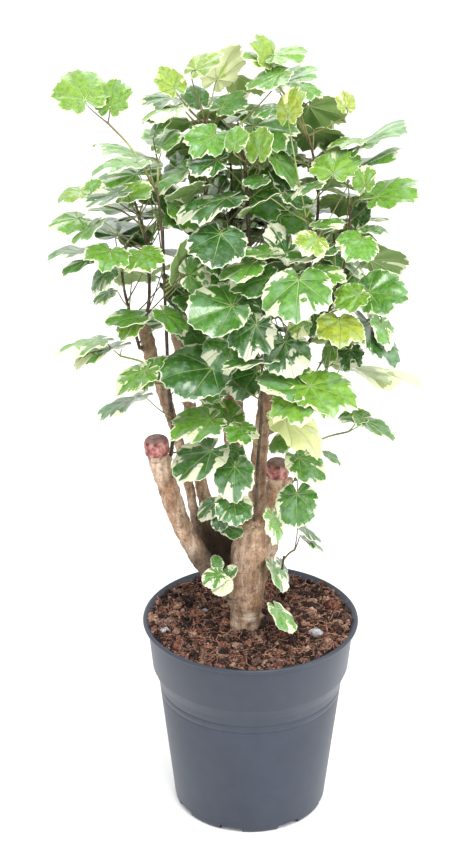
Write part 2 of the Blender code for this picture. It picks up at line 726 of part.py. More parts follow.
def leaf_of(line, blades):
    """A leaf with its stalks: each blade's runs to a knee behind the hub and on to the shoot. Where a leaf
    has several blades, they run to the top of a stalk that they share."""
    middle = sum((b["hub"] for b in blades), Vector()) / len(blades)
    reach = min(math.hypot(middle.x - p.x, middle.y - p.y) for p in line)
    root = nearest_on(line[1:], middle.z - 0.55 * reach - 0.012)
    leaf = {"blades": blades, "stalks": [], "shared": None}
    join = root
    if len(blades) > 1:
        join = middle.lerp(root, 0.016 / max(0.016, (middle - root).length)) - Vector((0, 0, 0.004))
        leaf["shared"] = [root, root.lerp(join, 0.5) + Vector((0, 0, 0.1 * (join - root).length)), join]
    for blade in blades:
        away = (join - blade["hub"]).normalized()
        below = blade["normal"] if blade["normal"].dot(away) > 0 else -blade["normal"]
        knee = blade["hub"] - blade["along"] * KNEE_BACK + below * KNEE_DOWN
        straight = -blade["along"].dot(away) > STRAIGHT_STALK
        leaf["stalks"].append([join] if straight else [knee, join])
    return leaf


def leaf_pieces(leaf, thickness=BLADE_THICKNESS, radius=STALK_RADIUS):
    """The blades and stalks of a leaf, each as points and faces."""
    pieces = [leaf_shape(b, stalk, thickness, radius) for b, stalk in zip(leaf["blades"], leaf["stalks"])]
    if leaf["shared"]:
        pieces.append(tube(leaf["shared"], [radius * 1.2] * 3, 4))
    return pieces


def blade_pieces(leaf):
    """The blades of a leaf alone, each as points and faces, for finding what crosses them."""
    pieces = []
    for blade in leaf["blades"]:
        points, faces = leaf_shape(blade, [])
        pieces.append((points, faces))
    return pieces


def choices_seen(line, marks, seed):
    """A leaf of the photograph, and the same leaf nearer and further along its sight line, in trying order."""
    depth, *blades = marks
    for step in (0, -5, 5, -10, 10, -16, 16, -24, 24, -34, 34):
        draw = random.Random(seed)
        yield leaf_of(line, [blade_seen(b, depth + step, draw) for b in blades])


def choices_rear(line, seed):
    """A leaf behind the shoot that the photograph hides, and others to try in its place."""
    draw = random.Random(seed)
    for _ in range(REAR_TRIES):
        at = line[1].lerp(line[-1], draw.uniform(0.05, 0.95))
        place = nearest_on(line, at.z)
        turn = math.radians(draw.uniform(15, 165))
        out = Vector((math.cos(turn), math.sin(turn), 0.0))
        hub = place + out * draw.uniform(*REAR_STALK) + Vector((0, 0, draw.uniform(0.01, 0.04)))
        stray = Vector((draw.uniform(-0.5, 0.5), draw.uniform(-0.3, 0.3), draw.uniform(-0.7, 0.2)))
        along = (out + stray).normalized()
        up = Vector((draw.uniform(-0.4, 0.4), draw.uniform(-0.1, 0.6), 1.0))
        normal = (up - along * up.dot(along)).normalized()
        tip = hub + along * REAR_BLADE[1] - CROWN_CENTRE
        if sum((c / r) ** 2 for c, r in zip(tip, CROWN_REACH)) > 1:
            continue
        blade = {"hub": hub, "along": along, "normal": normal, "length": draw.uniform(*REAR_BLADE),
                 "teeth": SMALL_TEETH, "cup": draw.uniform(-0.16, 0.06), "phase": draw.uniform(0, 6.28)}
        yield leaf_of(line, [blade])


def tree_of(pieces):
    """A search tree over the faces of several pieces."""
    points, faces = [], []
    for p, f in pieces:
        faces += [tuple(i + len(points) for i in face) for face in f]
        points += p
    return BVHTree.FromPolygons(points, faces)


def crossings(leaf, own):
    """How often a leaf's faces cross those of other leaves on its own shoot, or its blades cross the stem."""
    whole, blades = tree_of(leaf_pieces(leaf)), tree_of(blade_pieces(leaf))
    return sum(len(blades.overlap(other)) + len(whole.overlap(other_blades)) for other, other_blades in own)


def grow_leaves(lines, blocked):
    """Each shoot's leaves, in turn. Of its choices that stand clear of other shoots, a leaf takes the first
    that crosses no leaf of its own shoot, or else the one that crosses them least."""
    grown = {name: [] for name in SHOOTS}
    nothing = tree_of([])
    taken = {name: [(tree_of([tube(line, [SHOOTS[name]["radius"] * MM] * len(line), SHOOT_SIDES)]), nothing)]
             for name, line in lines.items()}
    wanted = []
    for order, (name, shoot) in enumerate(SHOOTS.items()):
        line, seed = lines[name], 100 * order
        wanted += [(name, choices_seen(line, marks, seed + k)) for k, marks in enumerate(shoot["leaves"])]
    for order, (name, shoot) in enumerate(SHOOTS.items()):
        seeds = [REAR_SEED + 1000 * order + k for k in range(shoot["rear"])]
        wanted += [(name, choices_rear(lines[name], seed)) for seed in seeds]
    for name, choices in wanted:
        others = [tree for other in SHOOTS if other != name for tree, _ in taken[other]]
        best, least = None, math.inf
        for leaf in choices:
            wide = BLADE_THICKNESS + 2 * CLEAR_OF_OTHERS
            guard = tree_of(leaf_pieces(leaf, wide, STALK_RADIUS + CLEAR_OF_OTHERS))
            if any(guard.overlap(tree) for tree in (*blocked, *others)):
                continue
            count = crossings(leaf, taken[name])
            if count < least:
                best, least = leaf, count
            if count == 0:
                break
        if best:
            grown[name].append(best)
            taken[name].append((tree_of(leaf_pieces(best)), tree_of(blade_pieces(best))))
    return grown


def make_shoot(name, line, leaves, finish):
    """One leafy shoot: its stem, stalks and blades fused."""
    start, tip = SHOOTS[name]["radius"] * MM, 0.0013
    radii = [start + (tip - start) * i / (len(line) - 1) for i in range(len(line))]
    stem = mesh_object(name, *tube(line, radii, SHOOT_SIDES), finish)
    parts = [mesh_object(name + "_leaf", *piece) for leaf in leaves for piece in leaf_pieces(leaf)]
    unite(stem, parts)
    return stem


def tree_of_object(obj):
    """A search tree over an object's faces."""
    return tree_of([([v.co for v in obj.data.vertices], [tuple(p.vertices) for p in obj.data.polygons])])


def main():
    for obj in list(bpy.data.objects):
        bpy.data.objects.remove(obj)
    bark = material("bark", (0.33, 0.22, 0.15), 0.8)
    trunk = make_trunk(bark)
    soil = make_soil(material("potting_mix", (0.13, 0.06, 0.04), 0.95), trunk)
    pot = make_pot(material("grey_polypropylene", (0.10, 0.12, 0.15), 0.45))
    wax_finish = material("red_wax", (0.36, 0.09, 0.09), 0.5)
    waxes = [make_wax("wax_" + limb, limb, wax_finish) for limb in WAXED_LIMBS]
    lines = {name: shoot_line(shoot)[0] for name, shoot in SHOOTS.items()}
    grown = grow_leaves(lines, [tree_of_object(obj) for obj in (trunk, soil, pot, *waxes)])
    leaf_finish = material("leaf", (0.10, 0.30, 0.06), 0.4)
    for name, line in lines.items():
        make_shoot(name, line, grown[name], leaf_finish)


main()
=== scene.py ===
# %% [markdown]
# # A potted polyscias, dressed for its portrait
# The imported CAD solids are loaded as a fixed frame. They already have the right sizes and places, but a solid
# leaf there is a faceted fan and the trunk is an eight-sided tube. Everything here stands on those solids, and
# gives them the look of the real plant. All lengths are metres, +Z is up, and the lens looks along +Y.

# %% Load the frame
import math
import random

import bpy
from mathutils import Matrix, Vector
from mathutils.bvhtree import BVHTree


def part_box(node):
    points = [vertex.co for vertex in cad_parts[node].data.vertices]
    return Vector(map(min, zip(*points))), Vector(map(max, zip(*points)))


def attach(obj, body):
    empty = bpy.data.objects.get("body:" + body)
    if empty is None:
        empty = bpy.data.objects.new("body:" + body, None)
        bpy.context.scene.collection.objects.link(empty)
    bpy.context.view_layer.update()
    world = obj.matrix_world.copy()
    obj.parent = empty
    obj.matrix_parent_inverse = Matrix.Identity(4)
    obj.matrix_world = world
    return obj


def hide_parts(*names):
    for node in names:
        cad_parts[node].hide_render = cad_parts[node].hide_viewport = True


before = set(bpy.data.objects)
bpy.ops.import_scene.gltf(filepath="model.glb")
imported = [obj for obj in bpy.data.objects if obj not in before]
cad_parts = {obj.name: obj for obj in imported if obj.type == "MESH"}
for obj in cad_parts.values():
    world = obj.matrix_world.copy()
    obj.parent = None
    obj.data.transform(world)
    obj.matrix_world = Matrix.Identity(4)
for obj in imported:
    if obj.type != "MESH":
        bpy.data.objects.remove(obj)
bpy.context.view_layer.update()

MM = 0.001

# %% [markdown]
# ## The lens
# The pot's rim and foot are circles, so the ellipses they make in a picture tell where the lens stood: a little
# over a metre and a half away, and looking down at about 24 degrees. One focal length in pixels then turns any
# pixel and depth into a point in the room, which is how the shoots and leaves below get their places.

# %% Sight lines and camera
EYE = Vector((0.0, -1.7037, 1.1722))
LOOK_DOWN = math.radians(24.21)
LOOK_ASIDE = math.radians(-0.756)
FOCAL_PX = 2000.0
PHOTO_SIZE_PX = (455, 850)
PHOTO_CENTRE_PX = (227.5, 425.0)
SENSOR_MM = 36.0
FORWARD = Vector(
    (
        math.sin(LOOK_ASIDE) * math.cos(LOOK_DOWN),
        math.cos(LOOK_ASIDE) * math.cos(LOOK_DOWN),
        -math.sin(LOOK_DOWN),
    )
)
RIGHT = Vector((math.cos(LOOK_ASIDE), -math.sin(LOOK_ASIDE), 0.0))
UPWARD = RIGHT.cross(FORWARD)


def seen_at(px, py, depth_mm):
    """The point that the photograph shows at a pixel, at a depth behind the pot's axis."""
    aside, down = px - PHOTO_CENTRE_PX[0], py - PHOTO_CENTRE_PX[1]
    ray = FORWARD + RIGHT * (aside / FOCAL_PX) - UPWARD * (down / FOCAL_PX)
    return EYE + ray * ((depth_mm * MM - EYE.y) / ray.y)


bpy.ops.object.select_all(action="DESELECT")
bpy.ops.object.camera_add(location=EYE)
camera = bpy.context.object
camera.matrix_world = Matrix.Translation(EYE) @ Matrix((RIGHT, UPWARD, -FORWARD)).transposed().to_4x4()
camera.data.sensor_width = SENSOR_MM
camera.data.lens = FOCAL_PX / max(PHOTO_SIZE_PX) * SENSOR_MM
bpy.context.scene.camera = camera
print("lens", round(camera.data.lens, 1), "mm")

# %% [markdown]
# ## The studio
# A plant like this is shown on white paper in bright, even light, so the floor is one wide pale sheet and the
# sky is white. A large soft lamp above and in front gives the leaves their gloss. One at each side, the right
# one stronger, keeps the trunk and the pot round, and one behind lights the edges of the crown.

# %% Floor and lights
FLOOR_SIZE = 24.0
SKY_STRENGTH = 1.13
# Each lamp: place, size in metres, power in watts
LAMPS = {
    "key": ((0.4, -1.3, 2.4), 0.9, 36.0),
    "right": ((1.9, -1.0, 1.3), 1.3, 22.0),
    "left": ((-1.9, -0.9, 1.4), 1.5, 6.0),
    "back": ((-0.2, 1.9, 2.2), 1.4, 18.0),
}
LAMP_AIM = Vector((0.0, 0.0, 0.45))


def srgb(hex_colour):
    """A colour as Blender wants it, from the hex code that a colour picker gives."""
    values = [int(hex_colour[k : k + 2], 16) / 255 for k in (1, 3, 5)]
    return (*[v / 12.92 if v <= 0.04045 else ((v + 0.055) / 1.055) ** 2.4 for v in values], 1.0)


bpy.ops.mesh.primitive_plane_add(size=FLOOR_SIZE)
floor = bpy.context.object
floor.name = "floor"
paper = bpy.data.materials.new("white studio paper")
paper.use_nodes = True
paper.node_tree.nodes["Principled BSDF"].inputs["Base Color"].default_value = srgb("#fbfbfb")
paper.node_tree.nodes["Principled BSDF"].inputs["Roughness"].default_value = 0.9
floor.data.materials.append(paper)
for name, (place, size, power) in LAMPS.items():
    bpy.ops.object.light_add(type="AREA", location=place)
    lamp = bpy.context.object
    lamp.name = "lamp_" + name
    lamp.data.size = size
    lamp.data.energy = power
    lamp.rotation_euler = (LAMP_AIM - Vector(place)).to_track_quat("-Z", "Y").to_euler()

sky = bpy.data.worlds.new("white sky")
sky.use_nodes = True
sky.node_tree.nodes["Background"].inputs["Color"].default_value = (1.0, 1.0, 1.0, 1.0)
sky.node_tree.nodes["Background"].inputs["Strength"].default_value = SKY_STRENGTH
bpy.context.scene.world = sky
bpy.context.scene.view_settings.view_transform = "Standard"

# %% [markdown]
# ## A helper for materials
# Every finish below is a few nodes feeding one Principled shader. One small function adds a node with its
# settings, and links what it is given: a number or colour sets a socket, and another node's output feeds it.

# %% Material helpers
def add(tree, kind, settings=None, **links):
    """Adds a node. Names of links are socket names, with _ for a space, or in_0, in_1 for sockets by number."""
    node = tree.nodes.new("ShaderNode" + kind)
    for key, value in (settings or {}).items():
        setattr(node, key, value)
    for key, value in links.items():
        socket = node.inputs[int(key[3:])] if key.startswith("in_") else node.inputs[key.replace("_", " ")]
        if isinstance(value, bpy.types.NodeSocket):
            tree.links.new(value, socket)
        else:
            socket.default_value = value
    return node


def new_material(name, roughness, ior=1.45, **settings):
    """A Principled material, its node tree and its shader."""
    made = bpy.data.materials.new(name)
    made.use_nodes = True
    shader = made.node_tree.nodes["Principled BSDF"]
    shader.inputs["Roughness"].default_value = roughness
    shader.inputs["IOR"].default_value = ior
    for key, value in settings.items():
        shader.inputs[key.replace("_", " ")].default_value = value
    return made, made.node_tree, shader


def ramp(tree, factor, *stops):
    """A colour ramp through stops of (place, hex colour)."""
    node = add(tree, "ValToRGB", Fac=factor)
    while len(node.color_ramp.elements) < len(stops):
        node.color_ramp.elements.new(1.0)
    for element, (place, colour) in zip(node.color_ramp.elements, stops):
        element.position = place
        element.color = srgb(colour)
    return node.outputs["Color"]


def noise(tree, place, grain_mm, detail=3.0, roughness=0.55):
    """Cloudy noise whose blotches are about grain_mm across, on coordinates in metres."""
    made = add(tree, "TexNoise", None, Vector=place, Scale=1.0 / (grain_mm * MM), Detail=detail, Roughness=roughness)
    return made.outputs["Fac"]


def sums(tree, operation, first, second=0.0, third=None, clamp=False):
    """One step of arithmetic on node outputs or numbers."""
    links = {"in_0": first, "in_1": second}
    if third is not None:
        links["in_2"] = third
    return add(tree, "Math", {"operation": operation, "use_clamp": clamp}, **links).outputs[0]


def blend(tree, share, under, over):
    """The under colour, with the over colour laid on it by share."""
    node = add(tree, "Mix", {"data_type": "RGBA"}, in_0=share)
    for socket, value in ((node.inputs[6], under), (node.inputs[7], over)):
        if isinstance(value, bpy.types.NodeSocket):
            tree.links.new(value, socket)
        else:
            socket.default_value = srgb(value)
    return node.outputs[2]


def relief(tree, shader, height, depth_mm, before=None):
    """Raises a surface by a height of 0 to 1, worth depth_mm."""
    links = {"Height": height, "Distance": depth_mm * MM, "Strength": 1.0}
    if before is not None:
        links["Normal"] = before
    node = add(tree, "Bump", None, **links)
    tree.links.new(node.outputs["Normal"], shader.inputs["Normal"])
    return node.outputs["Normal"]


# %% [markdown]
# ## Helpers for shaping
# Two habits keep scripted modelling safe. Nothing is selected before a primitive is added, so that an operator
# acts on the new piece alone. A finished piece then has its place baked into its mesh, rides on the plant's
# one body, and hides the solid it stands for.

# %% Shaping helpers
def only(obj):
    """Makes obj the one selected and active object."""
    bpy.ops.object.select_all(action="DESELECT")
    obj.select_set(True)
    bpy.context.view_layer.objects.active = obj
    return obj


def finished(obj, name, stands_for=(), smooth_angle=None):
    """Bakes a piece's modifiers and place into its mesh, names it, parents it to the plant's body and hides the solids
    it stands for.
    """
    only(obj)
    for modifier in list(obj.modifiers):
        bpy.ops.object.modifier_apply(modifier=modifier.name)
    bpy.ops.object.transform_apply(location=True, rotation=True, scale=True)
    if smooth_angle is not None:
        bpy.ops.object.shade_smooth_by_angle(angle=math.radians(smooth_angle))
    obj.name = name
    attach(obj, "root")
    if stands_for:
        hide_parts(*stands_for)
    faces = sum(len(p.vertices) - 2 for p in obj.data.polygons)
    print(name, faces, "triangles")
    return obj


def lathe(profile, sides):
    """A round piece drawn up from its underside: each point of the profile is one extrusion of the top face."""
    bpy.ops.object.select_all(action="DESELECT")
    radius, height = profile[0]
    bpy.ops.mesh.primitive_circle_add(vertices=sides, radius=radius, fill_type="NGON", location=(0, 0, height))
    made = bpy.context.object
    bpy.ops.object.transform_apply(location=True)
    bpy.ops.object.mode_set(mode="EDIT")
    bpy.ops.mesh.select_all(action="SELECT")
    for (r0, z0), (r1, z1) in zip(profile, profile[1:]):
        bpy.ops.mesh.extrude_region_move(TRANSFORM_OT_translate={"value": (0, 0, z1 - z0)})
        bpy.ops.transform.resize(value=(r1 / r0, r1 / r0, 1), center_override=(0, 0, 0))
    bpy.ops.mesh.select_all(action="SELECT")
    bpy.ops.mesh.normals_make_consistent(inside=False)
    bpy.ops.object.mode_set(mode="OBJECT")
    return made


def displaced(obj, kind, grain_mm, height_mm, direction="NORMAL", group="", seed_mm=0.0):
    """Adds a Displace modifier that pushes the surface out and in by a procedural texture."""
    texture = bpy.data.textures.new(obj.name + "_relief", kind)
    texture.noise_scale = grain_mm * MM
    modifier = obj.modifiers.new("relief", "DISPLACE")
    modifier.texture = texture
    modifier.texture_coords = "LOCAL"
    modifier.strength = height_mm * MM
    modifier.mid_level = 0.5
    modifier.direction = direction
    modifier.vertex_group = group
    return modifier


# %% [markdown]
# ## The pot
# The real pot is a nursery pot, injection moulded in blue-grey polypropylene. Its wall tapers, a deeper band
# carries the rim so that pots stack, and two faint rings run under the band. It is one turned shape, so it is
# drawn up from its underside ring by ring, over the lip and down inside. The drainage notches in the foot are
# then cut with a block. Polypropylene straight from the mould has a soft sheen, with a fine spark-eroded grain
# that is only felt in the blur of its highlights.

# %% Pot material
def moulded_polypropylene():
    """Blue-grey polypropylene, moulded: IOR 1.49, satin, with faint dust in patches."""
    made, tree, shader = new_material("moulded grey polypropylene", 0.42, 1.49)
    place = add(tree, "TexCoord").outputs["Object"]
    broad = noise(tree, place, 60.0, 3.0)
    fine = noise(tree, place, 2.2, 2.0)
    colour = ramp(tree, broad, (0.30, "#222b3b"), (0.70, "#2a3343"))
    dusty = sums(tree, "MULTIPLY", noise(tree, place, 14.0, 5.0), 0.05)
    tree.links.new(blend(tree, dusty, colour, "#a09c98"), shader.inputs["Base Color"])
    rough = add(tree, "MapRange", None, Value=broad, in_3=0.36, in_4=0.48).outputs[0]
    tree.links.new(rough, shader.inputs["Roughness"])
    relief(tree, shader, fine, 0.10)
    return made


# %% Pot
POT_SIDES = 144
POT_RIM_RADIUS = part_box("pot")[1].x
POT_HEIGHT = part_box("pot")[1].z
POT_FOOT_RADIUS = 0.0755
POT_WALL = 0.0018
LIP_DROP = 0.0045
LIP_OUT = 0.0045
LIP_WIDTH = 0.0034
BAND_HEIGHT = 0.0500
STEP_HEIGHT = 0.0125
BAND_FOOT_RADIUS = 0.0960
STEP_FOOT_RADIUS = 0.0905
FOOT_ROUND = 0.006
GROOVES = (0.0085, 0.0165)
GROOVE_DEPTH = 0.0007
GROOVE_HALF = 0.0015
FOOT_NOTCHES = 8
NOTCH_WIDTH = 0.023
NOTCH_HEIGHT = 0.0055
NOTCH_REACH = 0.012
NOTCH_TURN = math.radians(-104)

step_foot = POT_HEIGHT - BAND_HEIGHT - STEP_HEIGHT
wall_slope = (STEP_FOOT_RADIUS - POT_FOOT_RADIUS) / (step_foot - FOOT_ROUND)
band_top = POT_RIM_RADIUS - LIP_OUT
profile = [(POT_FOOT_RADIUS - FOOT_ROUND * 0.6, 0.0)]
profile += [
    (POT_FOOT_RADIUS - FOOT_ROUND * 0.6 * (1 - math.sin(a)), FOOT_ROUND * (1 - math.cos(a)))
    for a in (math.radians(30), math.radians(60), math.radians(90))
]
for drop in reversed(GROOVES):
    height = step_foot - drop
    radius = STEP_FOOT_RADIUS - wall_slope * drop
    profile += [(radius - wall_slope * GROOVE_HALF, height - GROOVE_HALF), (radius - GROOVE_DEPTH, height)]
    profile += [(radius + wall_slope * GROOVE_HALF, height + GROOVE_HALF)]
profile += [
    (STEP_FOOT_RADIUS - 0.0002, step_foot - 0.001),
    (STEP_FOOT_RADIUS + 0.0006, step_foot + 0.0012),
    (BAND_FOOT_RADIUS - 0.0007, POT_HEIGHT - BAND_HEIGHT - 0.0012),
    (BAND_FOOT_RADIUS + 0.0001, POT_HEIGHT - BAND_HEIGHT + 0.001),
    (band_top, POT_HEIGHT - LIP_DROP - 0.0005),
]
lip_middle = POT_RIM_RADIUS - LIP_DROP / 2
profile += [
    (lip_middle + LIP_DROP / 2 * math.sin(a), POT_HEIGHT - LIP_DROP / 2 - LIP_DROP / 2 * math.cos(a))
    for a in [math.radians(30 * k) for k in range(1, 7)]
]
profile += [
    (POT_RIM_RADIUS - LIP_WIDTH, POT_HEIGHT - 0.0006),
    (band_top - POT_WALL - 0.0008, POT_HEIGHT - LIP_DROP),
    (BAND_FOOT_RADIUS - POT_WALL, POT_HEIGHT - BAND_HEIGHT),
    (STEP_FOOT_RADIUS - POT_WALL, step_foot),
    (POT_FOOT_RADIUS - POT_WALL, NOTCH_HEIGHT + 0.003),
    (POT_FOOT_RADIUS - POT_WALL - 0.003, NOTCH_HEIGHT + 0.002),
]
pot = lathe(profile, POT_SIDES)
for k in range(FOOT_NOTCHES):
    bpy.ops.object.select_all(action="DESELECT")
    reach = NOTCH_REACH + 0.010
    bpy.ops.mesh.primitive_cube_add(size=1.0)
    notch = bpy.context.object
    notch.scale = (reach, NOTCH_WIDTH, 2 * NOTCH_HEIGHT)
    notch.rotation_euler.z = NOTCH_TURN + 2 * math.pi * k / FOOT_NOTCHES
    middle = POT_FOOT_RADIUS - NOTCH_REACH + reach / 2
    notch.location = (middle * math.cos(notch.rotation_euler.z), middle * math.sin(notch.rotation_euler.z), 0)
    bite = pot.modifiers.new("drainage notch", "BOOLEAN")
    bite.operation = "DIFFERENCE"
    bite.object = notch
    only(pot)
    bpy.ops.object.modifier_apply(modifier=bite.name)
    bpy.data.objects.remove(notch)
pot.data.materials.append(moulded_polypropylene())
finished(pot, "pot_shell", ("pot",), 32)

# %% [markdown]
# ## The potting mix
# The pot is filled with coarse peat and bark crumb. What the eye reads is lumps of three to twelve millimetres
# with dark gaps between them, loose fibres and a few pale specks. The bulk is a turned filling whose top is
# displaced by two noises. On it lie crumbs: a few are modelled by shaking the corners of an icosphere, and
# copied over the surface by a seeded draw, each stretched its own way, since broken bark is never round. The
# fibres are short bevelled curves, most as fine as hair and some as thick as rootlets.

# %% Potting mix materials
def peat_crumb(name, dark, middle, light):
    """Moist peat and bark, crumbled: rough, nearly without gloss, reddish brown, black where it is wet."""
    made, tree, shader = new_material(name, 0.9, 1.4)
    place = add(tree, "TexCoord").outputs["Object"]
    grit = noise(tree, place, 2.2, 6.0, 0.75)
    colour = ramp(tree, grit, (0.36, dark), (0.50, middle), (0.64, light))
    lumps = noise(tree, place, 11.0, 3.0)
    damp = sums(tree, "MULTIPLY", add(tree, "MapRange", None, Value=lumps, in_1=0.50, in_2=0.62).outputs[0], 0.55)
    tree.links.new(blend(tree, damp, colour, dark), shader.inputs["Base Color"])
    relief(tree, shader, grit, 1.6)
    return made


# The bulk shows only in the gaps between the crumbs: its near-black is partly the dark of wet peat and partly painted
# shade in those gaps
wet_and_gap_shade_finish = peat_crumb("wet potting mix with painted gap shade", "#0d0806", "#241611", "#422c23")
crumb_finishes = [
    peat_crumb("dry bark crumb", "#4f3427", "#a07b66", "#d6b8a3"),
    peat_crumb("red bark crumb", "#321912", "#7a4b3d", "#a97d6e"),
    peat_crumb("brown bark crumb", "#281812", "#664840", "#a2867b"),
    peat_crumb("peat crumb", "#150c09", "#3f2a22", "#6b4d41"),
    peat_crumb("wet peat crumb", "#0e0907", "#291a15", "#493429"),
]
pale_finish = peat_crumb("grey stone", "#77787c", "#a3a5a9", "#d5d7d9")
fibre_finish = peat_crumb("coir fibre", "#6b4434", "#a8775c", "#d9b298")

# %% Filling
SOIL_TOP = 0.1975
SOIL_SIDES = 112
SOIL_RINGS = 30
soil_low, soil_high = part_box("soil")
soil_radius = soil_high.x - 0.0002
wall = [(POT_FOOT_RADIUS - POT_WALL - 0.0015, NOTCH_HEIGHT + 0.0035), (STEP_FOOT_RADIUS - POT_WALL - 0.0005, step_foot)]
filling = [*wall, (soil_radius - 0.0012, POT_HEIGHT - BAND_HEIGHT), (soil_radius, SOIL_TOP - 0.003)]
filling += [(soil_radius * k / SOIL_RINGS, SOIL_TOP) for k in range(SOIL_RINGS, 0, -1)]
soil = lathe(filling, SOIL_SIDES)
top = soil.vertex_groups.new(name="top")
top.add([v.index for v in soil.data.vertices if v.co.z > SOIL_TOP - 0.001 and v.co.xy.length < soil_radius - 0.003],
        1.0, "REPLACE")
displaced(soil, "CLOUDS", 34.0, 6.0, "Z", "top")
displaced(soil, "CLOUDS", 9.0, 5.0, "Z", "top")
soil.data.materials.append(wet_and_gap_shade_finish)
finished(soil, "potting_mix", ("soil",), 180)

# %% Crumbs, fibres and stone
CRUMB_EDGE = 0.1006
EDGE_RISE = 0.0022
TRUNK_KEEP = 0.016
# Each sort of crumb: how many, and the smallest and largest radius in millimetres
CRUMB_SORTS = {"lumps": (620, 1.8, 5.0), "grit": (2700, 0.6, 1.9)}
# Clods that stand out: pixel, and radius in millimetres
CLODS = ((333, 605, 8.5), (167, 624, 8.0), (195, 614, 6.5), (153, 622, 5.5), (158, 600, 4.5), (192, 635, 6.0),
         (203, 655, 6.0), (178, 648, 5.0), (312, 600, 4.5), (275, 660, 5.5), (338, 622, 4.5))
# Each sort of fibre: how many, its thinnest and thickest radius and its shortest and longest run in millimetres
FIBRE_SORTS = {"hairs": (640, 0.11, 0.24, 5.0, 16.0), "rootlets": (120, 0.28, 0.62, 7.0, 20.0)}
STONE_PX = (316, 633)
STONE_MM = (8.4, 5.6, 4.0)
STONE_TURN = math.radians(-25)
SPECK_MM = (3.2, 2.2, 1.7)
SPECKS_PX = ((163, 633), (166, 631), (205, 612))
draw = random.Random(21)


soil_surface = BVHTree.FromPolygons([v.co for v in soil.data.vertices], [p.vertices for p in soil.data.polygons])


def soil_at(x, y):
    """The height of the potting mix."""
    spot = soil_surface.ray_cast(Vector((x, y, 0.3)), Vector((0, 0, -1)))[0]
    return spot.z if spot else SOIL_TOP


def crumb_master(seed, rounds, shake=0.40):
    """An icosphere with its corners shaken, so that no two sides are alike."""
    bpy.ops.object.select_all(action="DESELECT")
    bpy.ops.mesh.primitive_ico_sphere_add(subdivisions=rounds, radius=1.0)
    made = bpy.context.object
    bpy.ops.object.mode_set(mode="EDIT")
    bpy.ops.mesh.select_all(action="SELECT")
    bpy.ops.transform.vertex_random(offset=shake, uniform=0.5, normal=0.2, seed=seed)
    bpy.ops.object.mode_set(mode="OBJECT")
    return made


def strewn(master, place, size, turn):
    """A copy of a crumb with its own mesh, laid in place."""
    copy = master.copy()
    copy.data = master.data.copy()
    copy.data.transform(Matrix.Translation(place) @ turn @ Matrix.Diagonal((*size, 1.0)))
    bpy.context.scene.collection.objects.link(copy)
    return copy


def joined(objects):
    """Several objects as one."""
    bpy.ops.object.select_all(action="DESELECT")
    for obj in objects:
        obj.select_set(True)
    bpy.context.view_layer.objects.active = objects[0]
    bpy.ops.object.join()
    return bpy.context.object


def any_turn():
    """A random turn in space."""
    return Matrix.Rotation(draw.uniform(0, 6.28), 4, "X") @ Matrix.Rotation(draw.uniform(0, 6.28), 4, "Z")


def on_soil(px, py):
    """The point of the potting mix that the photograph shows at a pixel."""
    ray = seen_at(px, py, 0.0) - EYE
    spot = EYE + ray * ((SOIL_TOP + 0.002 - EYE.z) / ray.z)
    return Vector((spot.x, spot.y, soil_at(spot.x, spot.y)))


def thinned(master, share):
    """Fewer faces for a shape that is repeated often."""
    fewer = master.modifiers.new("fewer", "DECIMATE")
    fewer.ratio = share
    only(master)
    bpy.ops.object.modifier_apply(modifier=fewer.name)
    return master


def crumbs_of(masters, many, smallest, largest):
    """Many crumbs with random turns and sizes, half sunk in the potting mix."""
    laid = []
    while len(laid) < many:
        x, y = draw.uniform(-CRUMB_EDGE, CRUMB_EDGE), draw.uniform(-CRUMB_EDGE, CRUMB_EDGE)
        size = (smallest + (largest - smallest) * draw.random() ** 2) * MM
        reach = math.hypot(x, y)
        if reach + size * 0.7 > CRUMB_EDGE or reach < TRUNK_KEEP:
            continue
        shape = [size * draw.uniform(0.5, 1.45) for _ in range(3)]
        rise = EDGE_RISE * max(0.0, 1 - (CRUMB_EDGE - reach) / 0.012)
        place = Vector((x, y, soil_at(x, y) + rise + size * draw.uniform(-0.4, 0.4)))
        laid.append((draw.choice(masters), place, shape, any_turn()))
    return laid


lump_masters = [thinned(crumb_master(seed, 2), 0.6) for seed in range(1, 6)]
grit_masters = [crumb_master(seed, 1) for seed in range(6, 11)]
for k, finish in enumerate(crumb_finishes):
    lump_masters[k].data.materials.append(finish)
    grit_masters[k].data.materials.append(finish)
laid = crumbs_of(lump_masters, *CRUMB_SORTS["lumps"]) + crumbs_of(grit_masters, *CRUMB_SORTS["grit"])
for px, py, radius in CLODS:
    clod = draw.choice(lump_masters[:3])
    laid.append((clod, on_soil(px, py), [radius * MM * k for k in (1.15, 0.9, 0.7)], any_turn()))
crumb_layer = joined([strewn(*crumb) for crumb in laid])
for master in lump_masters + grit_masters:
    bpy.data.objects.remove(master)
finished(crumb_layer, "bark_crumbs", (), 28)

pebble = crumb_master(7, 2, 0.16)
pebble.data.materials.append(pale_finish)
flat = Matrix.Rotation(STONE_TURN, 4, "Z")
pale = [strewn(pebble, on_soil(*STONE_PX) + Vector((0, 0, 0.003)), [s * MM for s in STONE_MM], flat)]
for spot in SPECKS_PX:
    pale.append(strewn(pebble, on_soil(*spot) + Vector((0, 0, 0.004)), [s * MM for s in SPECK_MM], flat))
stones = joined(pale)
bpy.data.objects.remove(pebble)
finished(stones, "pale_stones", (), 60)


def drawn_lines(name, runs, rounds=1):
    """Round strands along lines of points. Each run is its points and its radius at each of them."""
    data = bpy.data.curves.new(name, "CURVE")
    data.dimensions = "3D"
    data.bevel_depth = 1.0
    data.bevel_resolution = rounds
    data.use_fill_caps = True
    for points, radii in runs:
        spline = data.splines.new("POLY")
        spline.points.add(len(points) - 1)
        for slot, point, radius in zip(spline.points, points, radii):
            slot.co = (*point, 1.0)
            slot.radius = radius
    made = bpy.data.objects.new(name, data)
    bpy.context.scene.collection.objects.link(made)
    only(made)
    bpy.ops.object.convert(target="MESH")
    return bpy.context.object


